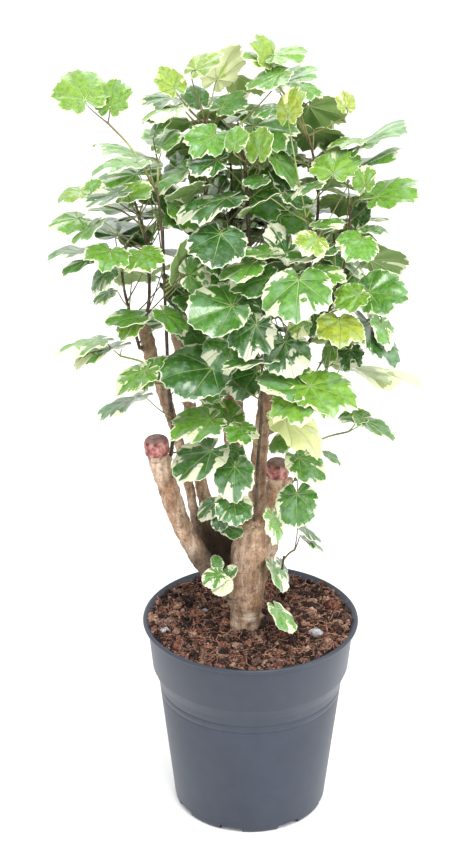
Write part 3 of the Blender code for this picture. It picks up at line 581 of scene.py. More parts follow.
def strand_on_soil(thinnest, thickest, shortest, longest):
    """A fibre's points and radii, wandering over the potting mix from a random place."""
    turn, reach = draw.uniform(0, 2 * math.pi), CRUMB_EDGE * math.sqrt(draw.uniform(0.05, 0.92))
    x, y = reach * math.cos(turn), reach * math.sin(turn)
    heading, length = draw.uniform(0, 2 * math.pi), draw.uniform(shortest, longest) * MM
    points = []
    for _ in range(5):
        inside = min(1.0, CRUMB_EDGE / max(1e-6, math.hypot(x, y)))
        x, y = x * inside, y * inside
        points.append(Vector((x, y, soil_at(x, y) + 0.0025 + draw.uniform(0.0, 0.003))))
        x += math.cos(heading) * length / 4
        y += math.sin(heading) * length / 4
        heading += draw.uniform(-0.9, 0.9)
    return points, [draw.uniform(thinnest, thickest) * MM] * 5


strands = [strand_on_soil(*sizes) for many, *sizes in FIBRE_SORTS.values() for _ in range(many)]
fibres = drawn_lines("fibres", strands, 0)
fibres.data.materials.append(fibre_finish)
finished(fibres, "coir_fibres", (), 180)

# %% [markdown]
# ## The trunk
# The trunk is old polyscias wood, sawn back and grown out again as several limbs. The solid under it already has
# the limbs in place, so a copy of it is sewn together, remeshed finely, which also melts the limbs into each
# other as wood does, and then roughened by three noises: slow swellings, knots, and the fine ridges of bark.
# The bark is matt, buff where it is dry and worn, with rings where leaves once sat and small pale pores.
# Painted shade darkens it to grey-brown in the forks, on the inner side of the left limb's foot and on the front
# trunk's left side.

# %% Bark
# Marks on the bark, as (pixel x, pixel y, depth in mm), reach in metres, share and colour: painted shade in the fork
# behind the left limb, painted shade on the inner side of that limb's foot, painted shade on the front trunk's left
# side, and an old pale scar
SHADE_AND_SCAR_MARKS = (((214, 545, 18), 0.056, 0.90, "#2d2218"), ((205, 557, -6), 0.030, 0.72, "#33271c"),
         ((226, 598, -12), 0.026, 0.45, "#2d2218"), ((250, 619, -28), 0.0075, 0.55, "#e8dccb"))


def weathered_bark():
    """Dry polyscias bark: rough, IOR 1.45, buff over grey-brown, with leaf scars, pores and painted shade in the forks.
    """
    made, tree, shader = new_material("weathered bark", 0.86, 1.45)
    place = add(tree, "TexCoord").outputs["Object"]
    stretched = add(tree, "Mapping", None, Vector=place, Scale=(1.0, 1.0, 0.38)).outputs[0]
    flat = add(tree, "Mapping", None, Vector=place, Scale=(0.5, 0.5, 3.2)).outputs[0]
    broad = noise(tree, place, 30.0, 4.0)
    drawn_out = add(tree, "Mapping", None, Vector=place, Scale=(1.0, 1.0, 0.11)).outputs[0]
    streaks = noise(tree, drawn_out, 4.6, 5.0, 0.60)
    flecks = noise(tree, stretched, 4.5, 6.0, 0.7)
    scars = noise(tree, flat, 16.0, 4.0, 0.6)
    colour = ramp(tree, broad, (0.34, "#8c705a"), (0.50, "#b8997f"), (0.66, "#e0c8b0"))
    furrows = add(tree, "MapRange", None, Value=streaks, in_1=0.52, in_2=0.64).outputs[0]
    colour = blend(tree, sums(tree, "MULTIPLY", furrows, 0.38), colour, "#70553f")
    ridges = add(tree, "MapRange", None, Value=streaks, in_1=0.46, in_2=0.36).outputs[0]
    colour = blend(tree, sums(tree, "MULTIPLY", ridges, 0.40), colour, "#e6d2be")
    rusty = add(tree, "MapRange", None, Value=noise(tree, stretched, 13.0, 5.0, 0.65), in_1=0.52, in_2=0.64).outputs[0]
    colour = blend(tree, sums(tree, "MULTIPLY", rusty, 0.42), colour, "#a26f4b")
    dark = sums(tree, "MULTIPLY", add(tree, "MapRange", None, Value=flecks, in_1=0.50, in_2=0.66).outputs[0], 0.80)
    colour = blend(tree, dark, colour, "#5a4334")
    ringed = sums(tree, "MULTIPLY", add(tree, "MapRange", None, Value=scars, in_1=0.58, in_2=0.66).outputs[0], 0.5)
    colour = blend(tree, ringed, colour, "#6b503e")
    height = add(tree, "SeparateXYZ", None, Vector=place).outputs["Z"]
    young = add(tree, "MapRange", None, Value=height, in_1=0.36, in_2=0.52).outputs[0]
    colour = blend(tree, sums(tree, "MULTIPLY", young, 0.55), colour, "#7a6250")
    pores = add(tree, "MapRange", None, Value=noise(tree, place, 1.9, 5.0, 0.75), in_1=0.50, in_2=0.62).outputs[0]
    colour = blend(tree, sums(tree, "MULTIPLY", pores, 0.5), colour, "#4b382b")
    mossy = sums(tree, "MULTIPLY", add(tree, "MapRange", None, Value=height, in_1=0.225, in_2=0.195).outputs[0], 0.35)
    colour = blend(tree, mossy, colour, "#5d5138")
    # Painted shade: the first three marks darken the fork, the limb's foot and the trunk's left side; the last mark is
    # a real pale scar
    for spot, reach, share, tint in SHADE_AND_SCAR_MARKS:
        off = add(tree, "VectorMath", {"operation": "DISTANCE"}, in_0=place, in_1=tuple(seen_at(*spot)))
        near = add(tree, "MapRange", None, Value=off.outputs["Value"], in_1=reach, in_2=reach * 0.3).outputs[0]
        colour = blend(tree, sums(tree, "MULTIPLY", near, share), colour, tint)
    tree.links.new(colour, shader.inputs["Base Color"])
    first = relief(tree, shader, sums(tree, "MULTIPLY_ADD", furrows, -0.4, flecks), 0.9)
    relief(tree, shader, scars, 1.8, first)
    return made


# %% Trunk
REMESH_MM = 1.5


def sewn_copy(node):
    """A copy of a CAD solid, with its loose triangles sewn together."""
    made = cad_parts[node].copy()
    made.data = made.data.copy()
    made.parent = None
    for key in list(made.keys()):
        del made[key]
    bpy.context.scene.collection.objects.link(made)
    made.data.materials.clear()
    only(made)
    bpy.ops.object.mode_set(mode="EDIT")
    bpy.ops.mesh.select_all(action="SELECT")
    bpy.ops.mesh.remove_doubles(threshold=0.00002)
    bpy.ops.object.mode_set(mode="OBJECT")
    return made


def remeshed(obj, cell_mm, rounds):
    """Adds modifiers that rebuild a solid from even cells and soften it."""
    cells = obj.modifiers.new("cells", "REMESH")
    cells.mode = "VOXEL"
    cells.voxel_size = cell_mm * MM
    soften = obj.modifiers.new("soften", "SMOOTH")
    soften.factor = 0.5
    soften.iterations = rounds


trunk = sewn_copy("trunk")
remeshed(trunk, REMESH_MM, 14)
displaced(trunk, "CLOUDS", 26.0, 4.2)
displaced(trunk, "CLOUDS", 9.0, 2.0)
displaced(trunk, "STUCCI", 3.2, 1.0)
trunk.data.materials.append(weathered_bark())
finished(trunk, "trunk_wood", ("trunk",), 180)

# %% [markdown]
# ## The sealed ends
# Two limbs were sawn off and dipped in red sealing wax, which keeps the cut from drying. The wax is a thin,
# lumpy, dull coat that has run a little way down the bark, so the solid caps are remeshed and lumped.

# %% Wax
def sealing_wax():
    """Grafting wax, dipped: dull red, blotched with a whitish film, slightly waxy in its gloss."""
    made, tree, shader = new_material("red sealing wax", 0.55, 1.44)
    place = add(tree, "TexCoord").outputs["Object"]
    blotches = noise(tree, place, 6.0, 4.0, 0.6)
    colour = ramp(tree, blotches, (0.36, "#5a2a2c"), (0.48, "#96524d"), (0.64, "#c08f89"))
    facing = add(tree, "SeparateXYZ", None, Vector=add(tree, "NewGeometry").outputs["Normal"]).outputs["Z"]
    dusty = add(tree, "MapRange", None, Value=sums(tree, "MULTIPLY_ADD", blotches, 0.8, facing), in_1=0.75, in_2=1.15)
    colour = blend(tree, sums(tree, "MULTIPLY", dusty.outputs[0], 0.60), colour, "#7f6a6b")
    tree.links.new(colour, shader.inputs["Base Color"])
    relief(tree, shader, noise(tree, place, 3.0, 3.0), 0.7)
    return made


wax_finish = sealing_wax()
for limb in ("wax_left", "wax_right"):
    wax = sewn_copy(limb)
    remeshed(wax, 0.6, 2)
    displaced(wax, "CLOUDS", 6.0, 1.1)
    wax.data.materials.append(wax_finish)
    finished(wax, limb + "_coat", (limb,), 180)

# %% [markdown]
# ## Where the shoots and leaves grow
# The table below is the part's own: it gives each shoot's route and each leaf as the photograph shows it, by
# pixels and a depth. A leaf that looks short or narrow is a leaf turned away, and the rule works out its lean
# and roll from that. A leaf that would cross another shoot is tried nearer and further along its sight line.
# Using the same rule here puts each finished leaf where its solid stands.

# %% Limbs and shoots
# Limbs of the trunk: points as (pixel x, pixel y, depth behind the pot's axis in mm, radius in mm)
LIMBS = {
    "main": ((244, 690, -12, 13.5), (244, 640, -13, 14.2), (246, 605, -12, 15.6), (248, 574, -11, 18.3),
             (250, 547, -9, 19.3), (254, 524, -13, 13)),
    "left": ((240, 598, -3, 12), (216, 577, -6, 11.5), (197, 553, -11, 10.6), (180, 522, -17, 10.3),
             (169, 489, -21, 9.9), (159, 462, -24, 9.9), (156, 440, -25, 10.1)),
    "right": ((254, 580, 4, 14), (266, 545, 4, 12), (272, 510, -3, 11), (277, 480, -9, 9.9),
              (278, 463, -11, 9.4)),
    "left_rear": ((238, 592, 2, 11), (222, 566, 7, 9.5), (206, 542, 15, 6.5), (196, 520, 26, 4.8),
                  (187, 476, 28, 4.6), (178, 440, 26, 5.2), (166, 400, 24, 6.5), (153, 361, 22, 7.5),
                  (144, 328, 20, 7.5)),
    "left_inner": ((240, 590, 6, 12), (230, 560, 13, 12), (216, 538, 22, 9), (207, 513, 33, 6.8),
                   (200, 478, 39, 6.2), (196, 440, 42, 6.3), (189, 400, 43, 7), (184, 362, 43, 8),
                   (178, 328, 42, 7.5)),
    "centre": ((245, 583, 14, 15), (236, 535, 24, 12), (235, 490, 28, 10), (234, 440, 28, 9.5),
               (234, 400, 27, 9.5), (237, 360, 25, 9), (242, 320, 20, 8), (247, 285, 17, 7.5),
               (249, 266, 16, 7)),
    "centre_right": ((255, 570, 10, 13), (257, 525, 14, 10), (257, 490, 14, 9), (261, 445, 10, 8.5),
                     (266, 405, 2, 8), (270, 376, -2, 7.5)),
    "pruned_stub": ((237, 392, 20, 8), (242, 368, 12, 7.5), (244, 350, 8, 7)),
}

# Leafy shoots: the limb they grow from, how far along it, and further points as (pixel x, pixel y, depth
# in mm). Each leaf is (depth in mm, blades...), and a blade is (hub x, hub y, tip x, tip y, width) as the
# photograph shows it, in pixels. A sixth value of -1 marks a blade that shows its underside.
SHOOTS = {
    "shoot_left_outer": {
        "limb": "left_rear", "along": 0.93, "radius": 3.0,
        "route": ((128, 306, 4), (123, 282, 0), (121, 258, 0)),
        "leaves": (
            (-8, (87, 252, 48, 254, 9)),
            (-25, (88, 260, 62, 271, 9)),
            (-34, (110, 251, 103, 268, 45)),
            (-14, (109, 271, 91, 291, 18)),
            (-20, (110, 292, 93, 301, 10)),
            (-34, (138, 317, 106, 322, 16), (136, 322, 121, 340, 20)),
        ),
        "rear": 3,
    },
    "shoot_left_inner": {
        "limb": "left_rear", "along": 1.0, "radius": 3.2,
        "route": ((149, 300, 24), (149, 272, 22), (146, 240, 20), (138, 212, 16), (133, 196, 12)),
        "leaves": (
            (-5, (78, 219, 48, 226, 20)),
            (-20, (96, 224, 72, 242, 10)),
            (2, (80, 191, 57, 197, 13), (91, 194, 99, 178, 20)),
            (-14, (123, 197, 153, 187, 19)),
            (-12, (119, 193, 86, 205, 14)),
            (8, (128, 208, 88, 214, 10)),
        ),
        "rear": 4,
    },
    "shoot_left_front": {
        "limb": "left", "along": 0.80, "radius": 4.0,
        "route": ((172, 446, -4), (173, 426, -6), (169, 390, -12), (167, 350, -15), (165, 300, -12),
                  (163, 250, -8),
                  (160, 212, -5), (157, 188, 0)),
        "leaves": (
            (0, (85, 100, 68, 68, 56), (110, 107, 115, 77, 35)),
            (6, (142, 156, 97, 136, 9)),
            (-10, (134, 163, 91, 169, 11)),
            (14, (156, 132, 168, 114, 11), (160, 147, 178, 130, 16)),
            (-32, (141, 253, 150, 270, 42)),
            (-36, (145, 371, 116, 392, 24), (146, 375, 144, 391, 20), (151, 372, 173, 359, 24)),
            (-26, (97, 340, 53, 349, 12), (115, 347, 74, 362, 10)),
            (-30, (164, 313, 187, 331, 20)),
            (-36, (189, 275, 217, 272, 37)),
            (-24, (180, 273, 190, 238, 20, -1)),
            (-46, (210, 420, 170, 433, 33)),
            (-40, (211, 451, 176, 477, 36)),
            (-20, (137, 397, 97, 412, 11)),
        ),
        "rear": 5,
    },
    "shoot_upper_left": {
        "limb": "left_inner", "along": 1.0, "radius": 3.8,
        "route": ((184, 292, 41), (190, 250, 40), (200, 215, 35), (207, 185, 30), (207, 140, 25),
                  (206, 122, 25)),
        "leaves": (
            (8, (175, 88, 162, 65, 27)),
            (12, (196, 70, 221, 51, 20)),
            (32, (217, 79, 236, 44, 34, -1)),
            (36, (172, 98, 141, 99, 14)),
            (10, (175, 108, 141, 115, 11)),
            (46, (199, 102, 187, 84, 24)),
            (-8, (217, 160, 186, 158, 31)),
            (-2, (198, 188, 166, 201, 13, -1)),
            (-18, (227, 198, 176, 210, 18)),
            (0, (187, 328, 209, 349, 27)),
            (14, (197, 386, 227, 384, 30)),
            (-8, (230, 419, 204, 397, 30)),
        ),
        "rear": 5,
    },
    "shoot_centre": {
        "limb": "centre", "along": 1.0, "radius": 3.6,
        "route": ((249, 240, 15), (247, 200, 15), (245, 170, 12), (240, 140, 10), (238, 122, 10)),
        "leaves": (
            (22, (222, 108, 247, 92, 22)),
            (-18, (235, 146, 240, 126, 22), (259, 154, 264, 127, 26)),
            (-10, (263, 180, 243, 184, 12)),
            (16, (280, 74, 247, 87, 18)),
            (10, (273, 108, 252, 113, 12)),
            (-46, (221, 234, 212, 262, 56)),
            (-58, (252, 264, 220, 278, 22)),
            (-20, (287, 255, 272, 223, 24)),
            (-40, (269, 254, 231, 248, 13)),
        ),
        "rear": 5,
    },
    "shoot_centre_rear": {
        "limb": "centre", "along": 0.72, "radius": 3.2,
        "route": ((231, 300, 52), (230, 250, 62), (232, 200, 66), (230, 150, 62)),
        "leaves": (),
        "rear": 9,
    },
    "shoot_front": {
        "limb": "main", "along": 1.0, "radius": 3.4,
        "route": ((256, 507, -22), (258, 460, -38), (261, 420, -40), (262, 380, -40), (262, 345, -40)),
        "leaves": (
            (-58, (241, 428, 246, 446, 32)),
            (-54, (235, 467, 233, 501, 38)),
            (-48, (234, 499, 237, 523, 36)),
            (-36, (226, 527, 243, 533, 15)),
            (-26, (224, 515, 214, 528, 17)),
            (-12, (214, 503, 199, 518, 18)),
            (-26, (236, 449, 230, 463, 20)),
            (-62, (232, 306, 189, 321, 50)),
            (-50, (235, 307, 263, 306, 26)),
            (-70, (256, 325, 246, 360, 46)),
            (-62, (285, 342, 294, 377, 46)),
            (-52, (264, 361, 223, 366, 8)),
        ),
        "rear": 0,
    },
    "shoot_right_front": {
        "limb": "centre_right", "along": 1.0, "radius": 3.8,
        "route": ((283, 345, -25), (297, 315, -35), (305, 290, -35), (310, 262, -30), (311, 238, -25),
                  (305, 212, -20)),
        "leaves": (
            (-84, (299, 280, 295, 316, 66)),
            (-66, (318, 272, 346, 280, 20)),
            (-42, (326, 250, 287, 262, 16)),
            (-46, (316, 239, 305, 251, 34)),
            (-40, (319, 226, 344, 220, 10)),
            (-62, (303, 321, 294, 338, 22)),
            (-55, (314, 318, 312, 337, 15)),
            (-10, (288, 115, 290, 86, 26)),
            (10, (284, 186, 278, 165, 17)),
            (0, (290, 196, 314, 205, 15)),
            (-12, (316, 185, 291, 195, 8)),
        ),
        "rear": 0,
    },
    "shoot_upper_right": {
        "limb": "centre_right", "along": 0.86, "radius": 3.8,
        "route": ((284, 345, 30), (300, 290, 40), (312, 250, 40), (318, 210, 34), (316, 170, 28),
                  (308, 135, 24)),
        "leaves": (
            (20, (270, 64, 260, 33, 24), (266, 63, 243, 47, 12)),
            (14, (274, 56, 307, 47, 19)),
            (26, (283, 83, 316, 64, 20)),
            (30, (300, 86, 323, 93, 13)),
            (40, (262, 130, 280, 125, 6)),
            (30, (291, 151, 287, 136, 14)),
            (20, (346, 108, 343, 91, 19)),
            (-14, (333, 173, 338, 146, 50)),
            (20, (357, 141, 328, 143, 8)),
            (15, (361, 146, 406, 114, 14)),
        ),
        "rear": 6,
    },
    "shoot_right_outer": {
        "limb": "centre_right", "along": 0.66, "radius": 4.0,
        "route": ((296, 365, 2), (326, 315, -4), (343, 270, -8), (349, 235, -8), (350, 205, -5)),
        "leaves": (
            (-5, (354, 169, 403, 152, 12)),
            (-15, (377, 197, 418, 178, 30)),
            (-5, (365, 186, 366, 165, 23)),
            (-40, (361, 239, 349, 255, 40)),
            (-20, (367, 229, 391, 232, 8)),
            (12, (370, 260, 409, 259, 30, -1)),
            (5, (359, 221, 360, 201, 20)),
            (-36, (369, 292, 407, 297, 44)),
            (-62, (359, 294, 335, 306, 28)),
            (-66, (339, 320, 341, 341, 46)),
            (-35, (370, 324, 396, 366, 26)),
            (-52, (381, 322, 391, 349, 18)),
        ),
        "rear": 5,
    },
    "shoot_right_low": {
        "limb": "right", "along": 0.72, "radius": 3.2,
        "route": ((294, 466, -10), (303, 430, -25), (306, 402, -30), (308, 380, -30)),
        "leaves": (
            (-68, (303, 388, 258, 372, 36), (304, 393, 300, 419, 60), (310, 386, 357, 399, 42)),
            (-30, (351, 350, 345, 371, 30)),
            (-20, (332, 346, 326, 369, 15)),
            (12, (349, 366, 422, 381, 11)),
            (-46, (299, 458, 323, 481, 30)),
            (-40, (285, 419, 322, 449, 33)),
            (-18, (288, 437, 270, 450, 18)),
            (-20, (362, 418, 338, 415, 15), (365, 421, 394, 439, 15)),
            (-18, (328, 454, 341, 464, 7)),
            (-52, (297, 494, 296, 526, 40)),
            (-36, (272, 517, 277, 543, 18)),
        ),
        "rear": 3,
    },
    "sprout_left": {
        "limb": "main", "along": 0.45, "radius": 1.6,
        "route": ((221, 581, -37), (220, 573, -40)),
        "leaves": (
            (-40, (217, 567, 216, 555, 12), (229, 576, 231, 564, 13)),
            (-46, (219, 575, 203, 582, 19), (222, 581, 222, 596, 21)),
        ),
        "rear": 0,
    },
    "sprout_right": {
        "limb": "main", "along": 0.32, "radius": 1.6,
        "route": ((276, 598, -12), (281, 575, -10), (284, 556, -6)),
        "leaves": (
            (-20, (273, 567, 286, 590, 12)),
            (-8, (281, 563, 289, 581, 8)),
            (-32, (277, 609, 295, 630, 15)),
            (-4, (306, 539, 323, 551, 5), (304, 528, 321, 542, 7)),
        ),
        "rear": 0,
    },
}

# Rear foliage, which the photograph hides: its sizes in metres, and the draw's seed
REAR_SEED = 11
REAR_STALK = (0.045, 0.080)
REAR_BLADE = (0.036, 0.052)
REAR_TRIES = 24
CROWN_CENTRE = Vector((-0.014, 0.000, 0.580))
CROWN_REACH = (0.165, 0.160, 0.185)

# A blade's outline, about the hub where its veins meet: a circle that reaches further forward, with a gap
# behind for the stalk. Teeth and notches take turns along it. Sizes are shares of the length from hub to tip.
OUTLINE_CIRCLE = 0.644
OUTLINE_FORWARD = 0.356
OUTLINE_TURN = math.radians(134)
TOOTH_OUT = 1.04
NOTCH_IN = 0.85
TEETH = 7
SMALL_TEETH = 5
SMALL_BLADE = 0.029
WIDTH_SHARE = 2 * OUTLINE_CIRCLE
KNEE_BACK = 0.0035
KNEE_DOWN = 0.0012
STRAIGHT_STALK = 0.5

TOUCH_GAP = 0.0003
BLADE_THICKNESS = 0.0009
STALK_RADIUS = 0.0011
CLEAR_OF_OTHERS = 0.0012
SHOOT_SIDES = 5
COLLAR_OUT = 0.005
SIDE_SHOOT_LEAN = 0.5
SHOOT_STRAIGHT = 0.004

# Shaded leaves inside the crown that only the dressed plant has, and how many each shoot gets
FILL_SEED = 500
FILL_STALK = (0.020, 0.055)
FILL_BLADE = (0.030, 0.048)
FILL_LOWEST = 0.46
FILL_LEAVES = {"shoot_left_outer": 5, "shoot_left_inner": 10, "shoot_left_front": 6, "shoot_upper_left": 14,
               "shoot_centre": 16, "shoot_centre_rear": 18, "shoot_front": 4, "shoot_right_front": 12,
               "shoot_upper_right": 14, "shoot_right_outer": 12, "shoot_right_low": 4}

# %% The growth rule
def curve_through(points, steps):
    """Points along a smooth curve through the given points, with this many steps to each stretch."""
    ends = [points[0] * 2 - points[1], *points, points[-1] * 2 - points[-2]]
    made = []
    for i in range(1, len(ends) - 2):
        a, b, c, d = ends[i - 1 : i + 3]
        for k in range(steps):
            t = k / steps
            square, cube = a * 2 - b * 5 + c * 4 - d, b * 3 - a - c * 3 + d
            made.append((b * 2 + (c - a) * t + square * t**2 + cube * t**3) * 0.5)
    return [*made, points[-1].copy()]


def tube(points, radii, sides, bumps=0.0, seed=0):
    """Points and faces of a closed round tube along a line of points. Bumps make its girth uneven."""
    draw = random.Random(seed)
    made, faces = [], []
    across = None
    for i, point in enumerate(points):
        along = (points[min(i + 1, len(points) - 1)] - points[max(i - 1, 0)]).normalized()
        if across is None:
            across = along.orthogonal().normalized()
        across = (across - along * across.dot(along)).normalized()
        other = along.cross(across)
        for k in range(sides):
            a = 2 * math.pi * k / sides
            r = radii[i] * (1 + bumps * draw.uniform(-1, 1))
            made.append(point + (across * math.cos(a) + other * math.sin(a)) * r)
    for i in range(len(points) - 1):
        for k in range(sides):
            n = (k + 1) % sides
            a, b = i * sides, (i + 1) * sides
            faces.append((a + k, a + n, b + n, b + k))
    faces.append(tuple(reversed(range(sides))))
    last = (len(points) - 1) * sides
    faces.append(tuple(range(last, last + sides)))
    return made, faces


def limb_line(name):
    """A limb's middle line and its radius at each point."""
    rows = LIMBS[name]
    places = [seen_at(px, py, depth) for px, py, depth, _ in rows]
    line = curve_through(places, 1)
    radii = [Vector((r * MM, 0, 0)) for *_, r in rows]
    return line, [v.x for v in curve_through(radii, 1)]


def on_limb(name, along):
    """The point, the direction and the radius a share of the way along a limb's middle line."""
    line, radii = limb_line(name)
    place = along * (len(line) - 1)
    i = min(int(place), len(line) - 2)
    return line[i].lerp(line[i + 1], place - i), (line[i + 1] - line[i]).normalized(), radii[i]


def shoot_line(shoot):
    """A shoot's middle line, from just off the limb's surface to its tip, and the collar under it."""
    start, limb_along, limb_radius = on_limb(shoot["limb"], shoot["along"])
    places = [seen_at(*spot) for spot in shoot["route"]]
    away = (places[0] - start).normalized()
    out = COLLAR_OUT
    if shoot["along"] < 1.0:
        sideways = (away - limb_along * away.dot(limb_along)).normalized()
        away = (sideways + away * SIDE_SHOOT_LEAN).normalized()
        out = COLLAR_OUT + limb_radius / away.dot(sideways)
    collar_end = start + away * out
    line = [collar_end + away * TOUCH_GAP, collar_end + away * SHOOT_STRAIGHT, *places]
    return line, (start - away * limb_radius * 0.3, collar_end)


def outline(blade):
    """A blade's outline about its hub: points as (across, along), from the gap's right to its left."""
    points = []
    last = 2 * blade["teeth"] - 2
    for k in range(last + 1):
        angle = OUTLINE_TURN * (2 * k / last - 1)
        sideways = OUTLINE_FORWARD * math.sin(angle)
        reach = OUTLINE_FORWARD * math.cos(angle) + math.sqrt(OUTLINE_CIRCLE**2 - sideways**2)
        reach *= blade["length"] * (TOOTH_OUT if k % 2 == 0 else NOTCH_IN)
        points.append((-math.sin(angle) * reach, math.cos(angle) * reach))
    return points


def leaf_shape(blade, stalk, thickness=BLADE_THICKNESS, radius=STALK_RADIUS):
    """Points and faces of a blade on its three-sided stalk. Both faces of the blade are fans from the hub."""
    hub, along, normal, length = (blade[k] for k in ("hub", "along", "normal", "length"))
    across = along.cross(normal)
    half = normal * thickness / 2
    top = []
    for x, y in outline(blade):
        away = (x * x + y * y) / length
        ripple = 0.035 * away * math.sin(3.0 * math.atan2(x, y) + blade["phase"])
        top.append(hub + across * x + along * y + half + normal * (blade["cup"] * away + ripple))
    count = len(top)
    tip = 3 + count // 2
    side = across * radius * 0.8
    points = [hub + half, hub - half - side, hub - half + side, *top, *[p - half * 2 for p in top]]
    faces = [(0, i, i + 1) for i in range(3, count + 2)]
    faces += [(2 if i < tip else 1, count + i + 1, count + i) for i in range(3, count + 2)]
    faces.append((1, count + tip, 2))
    faces += [(i, count + i, count + i + 1, i + 1) for i in range(3, count + 2)]
    faces += [(0, 2, count + 3, 3), (0, count + 2, 2 * count + 2, 1)]
    ring = (0, 1, 2)
    up, before = normal, -along
    for i, point in enumerate(stalk):
        after = (stalk[i + 1] - point if i + 1 < len(stalk) else point - stalk[i - 1]).normalized()
        way = (before + after).normalized()
        up = (up - way * up.dot(way)).normalized()
        side = up.cross(way) * radius * 0.87
        start = len(points)
        points += [point + up * radius, point - up * radius / 2 - side, point - up * radius / 2 + side]
        fresh = (start, start + 1, start + 2)
        faces += [(ring[k], ring[(k + 1) % 3], fresh[(k + 1) % 3], fresh[k]) for k in range(3)]
        ring, before = fresh, after
    faces.append(ring)
    return points, faces


def blade_seen(mark, depth_mm, draw):
    """A blade in space from how the photograph shows it. Its size is the larger of its length and width over
    the width's usual share. What looks shorter is turned away, with the upper side as level as it can be."""
    hub_x, hub_y, tip_x, tip_y, width_px = mark[:5]
    side = mark[5] if len(mark) > 5 else 1
    hub = seen_at(hub_x, hub_y, depth_mm)
    to_eye = (EYE - hub).normalized()
    metre_px = FOCAL_PX / (hub - EYE).dot(FORWARD)
    level = RIGHT * (tip_x - hub_x) - UPWARD * (tip_y - hub_y)
    level = (level - to_eye * level.dot(to_eye)).normalized()
    length = math.hypot(tip_x - hub_x, tip_y - hub_y) / metre_px
    width = width_px / metre_px
    full = max(length, width / WIDTH_SHARE) * 1.03
    lean = math.acos(min(1.0, length / full))
    roll = math.acos(min(1.0, width / (WIDTH_SHARE * full)))
    best = None
    for lean_sign in (1, -1):
        along = (level * math.cos(lean) + to_eye * math.sin(lean) * lean_sign).normalized()
        facing = (to_eye - along * to_eye.dot(along)).normalized() * side
        for roll_sign in (1, -1):
            normal = Matrix.Rotation(roll * roll_sign, 3, along) @ facing
            if best is None or normal.z > best[1].z + 1e-6:
                best = (along, normal)
    return {"px": (hub_x, hub_y), "hub": hub, "along": best[0], "normal": best[1], "length": full,
            "teeth": SMALL_TEETH if full < SMALL_BLADE else TEETH,
            "cup": draw.uniform(-0.16, 0.06), "phase": draw.uniform(0, 6.28)}


def nearest_on(line, wanted_z):
    """The first point along a shoot that is this high, or the end that is nearest to it."""
    for a, b in zip(line, line[1:]):
        if (a.z - wanted_z) * (b.z - wanted_z) <= 0 and abs(b.z - a.z) > 1e-6:
            return a.lerp(b, (wanted_z - a.z) / (b.z - a.z))
    first, last = line[0].lerp(line[1], 0.2), line[-1].lerp(line[-2], 0.2)
    return last if abs(last.z - wanted_z) < abs(first.z - wanted_z) else first


def leaf_of(line, blades):
    """A leaf with its stalks: each blade's runs to a knee behind the hub and on to the shoot. Where a leaf
    has several blades, they run to the top of a stalk that they share."""
    middle = sum((b["hub"] for b in blades), Vector()) / len(blades)
    reach = min(math.hypot(middle.x - p.x, middle.y - p.y) for p in line)
    root = nearest_on(line[1:], middle.z - 0.55 * reach - 0.012)
    leaf = {"blades": blades, "stalks": [], "shared": None}
    join = root
    if len(blades) > 1:
        join = middle.lerp(root, 0.016 / max(0.016, (middle - root).length)) - Vector((0, 0, 0.004))
        leaf["shared"] = [root, root.lerp(join, 0.5) + Vector((0, 0, 0.1 * (join - root).length)), join]
    for blade in blades:
        away = (join - blade["hub"]).normalized()
        below = blade["normal"] if blade["normal"].dot(away) > 0 else -blade["normal"]
        knee = blade["hub"] - blade["along"] * KNEE_BACK + below * KNEE_DOWN
        straight = -blade["along"].dot(away) > STRAIGHT_STALK
        leaf["stalks"].append([join] if straight else [knee, join])
    return leaf


def leaf_pieces(leaf, thickness=BLADE_THICKNESS, radius=STALK_RADIUS):
    """The blades and stalks of a leaf, each as points and faces."""
    pieces = [leaf_shape(b, stalk, thickness, radius) for b, stalk in zip(leaf["blades"], leaf["stalks"])]
    if leaf["shared"]:
        pieces.append(tube(leaf["shared"], [radius * 1.2] * 3, 4))
    return pieces


def blade_pieces(leaf):
    """The blades of a leaf alone, each as points and faces, for finding what crosses them."""
    pieces = []
    for blade in leaf["blades"]:
        points, faces = leaf_shape(blade, [])
        pieces.append((points, faces))
    return pieces


def choices_seen(line, marks, seed):
    """A leaf of the photograph, and the same leaf nearer and further along its sight line, in trying order."""
    depth, *blades = marks
    for step in (0, -5, 5, -10, 10, -16, 16, -24, 24, -34, 34):
        draw = random.Random(seed)
        yield leaf_of(line, [blade_seen(b, depth + step, draw) for b in blades])


def choices_rear(line, seed):
    """A leaf behind the shoot that the photograph hides, and others to try in its place."""
    draw = random.Random(seed)
    for _ in range(REAR_TRIES):
        at = line[1].lerp(line[-1], draw.uniform(0.05, 0.95))
        place = nearest_on(line, at.z)
        turn = math.radians(draw.uniform(15, 165))
        out = Vector((math.cos(turn), math.sin(turn), 0.0))
        hub = place + out * draw.uniform(*REAR_STALK) + Vector((0, 0, draw.uniform(0.01, 0.04)))
        stray = Vector((draw.uniform(-0.5, 0.5), draw.uniform(-0.3, 0.3), draw.uniform(-0.7, 0.2)))
        along = (out + stray).normalized()
        up = Vector((draw.uniform(-0.4, 0.4), draw.uniform(-0.1, 0.6), 1.0))
        normal = (up - along * up.dot(along)).normalized()
        tip = hub + along * REAR_BLADE[1] - CROWN_CENTRE
        if sum((c / r) ** 2 for c, r in zip(tip, CROWN_REACH)) > 1:
            continue
        blade = {"hub": hub, "along": along, "normal": normal, "length": draw.uniform(*REAR_BLADE),
                 "teeth": SMALL_TEETH, "cup": draw.uniform(-0.16, 0.06), "phase": draw.uniform(0, 6.28)}
        yield leaf_of(line, [blade])


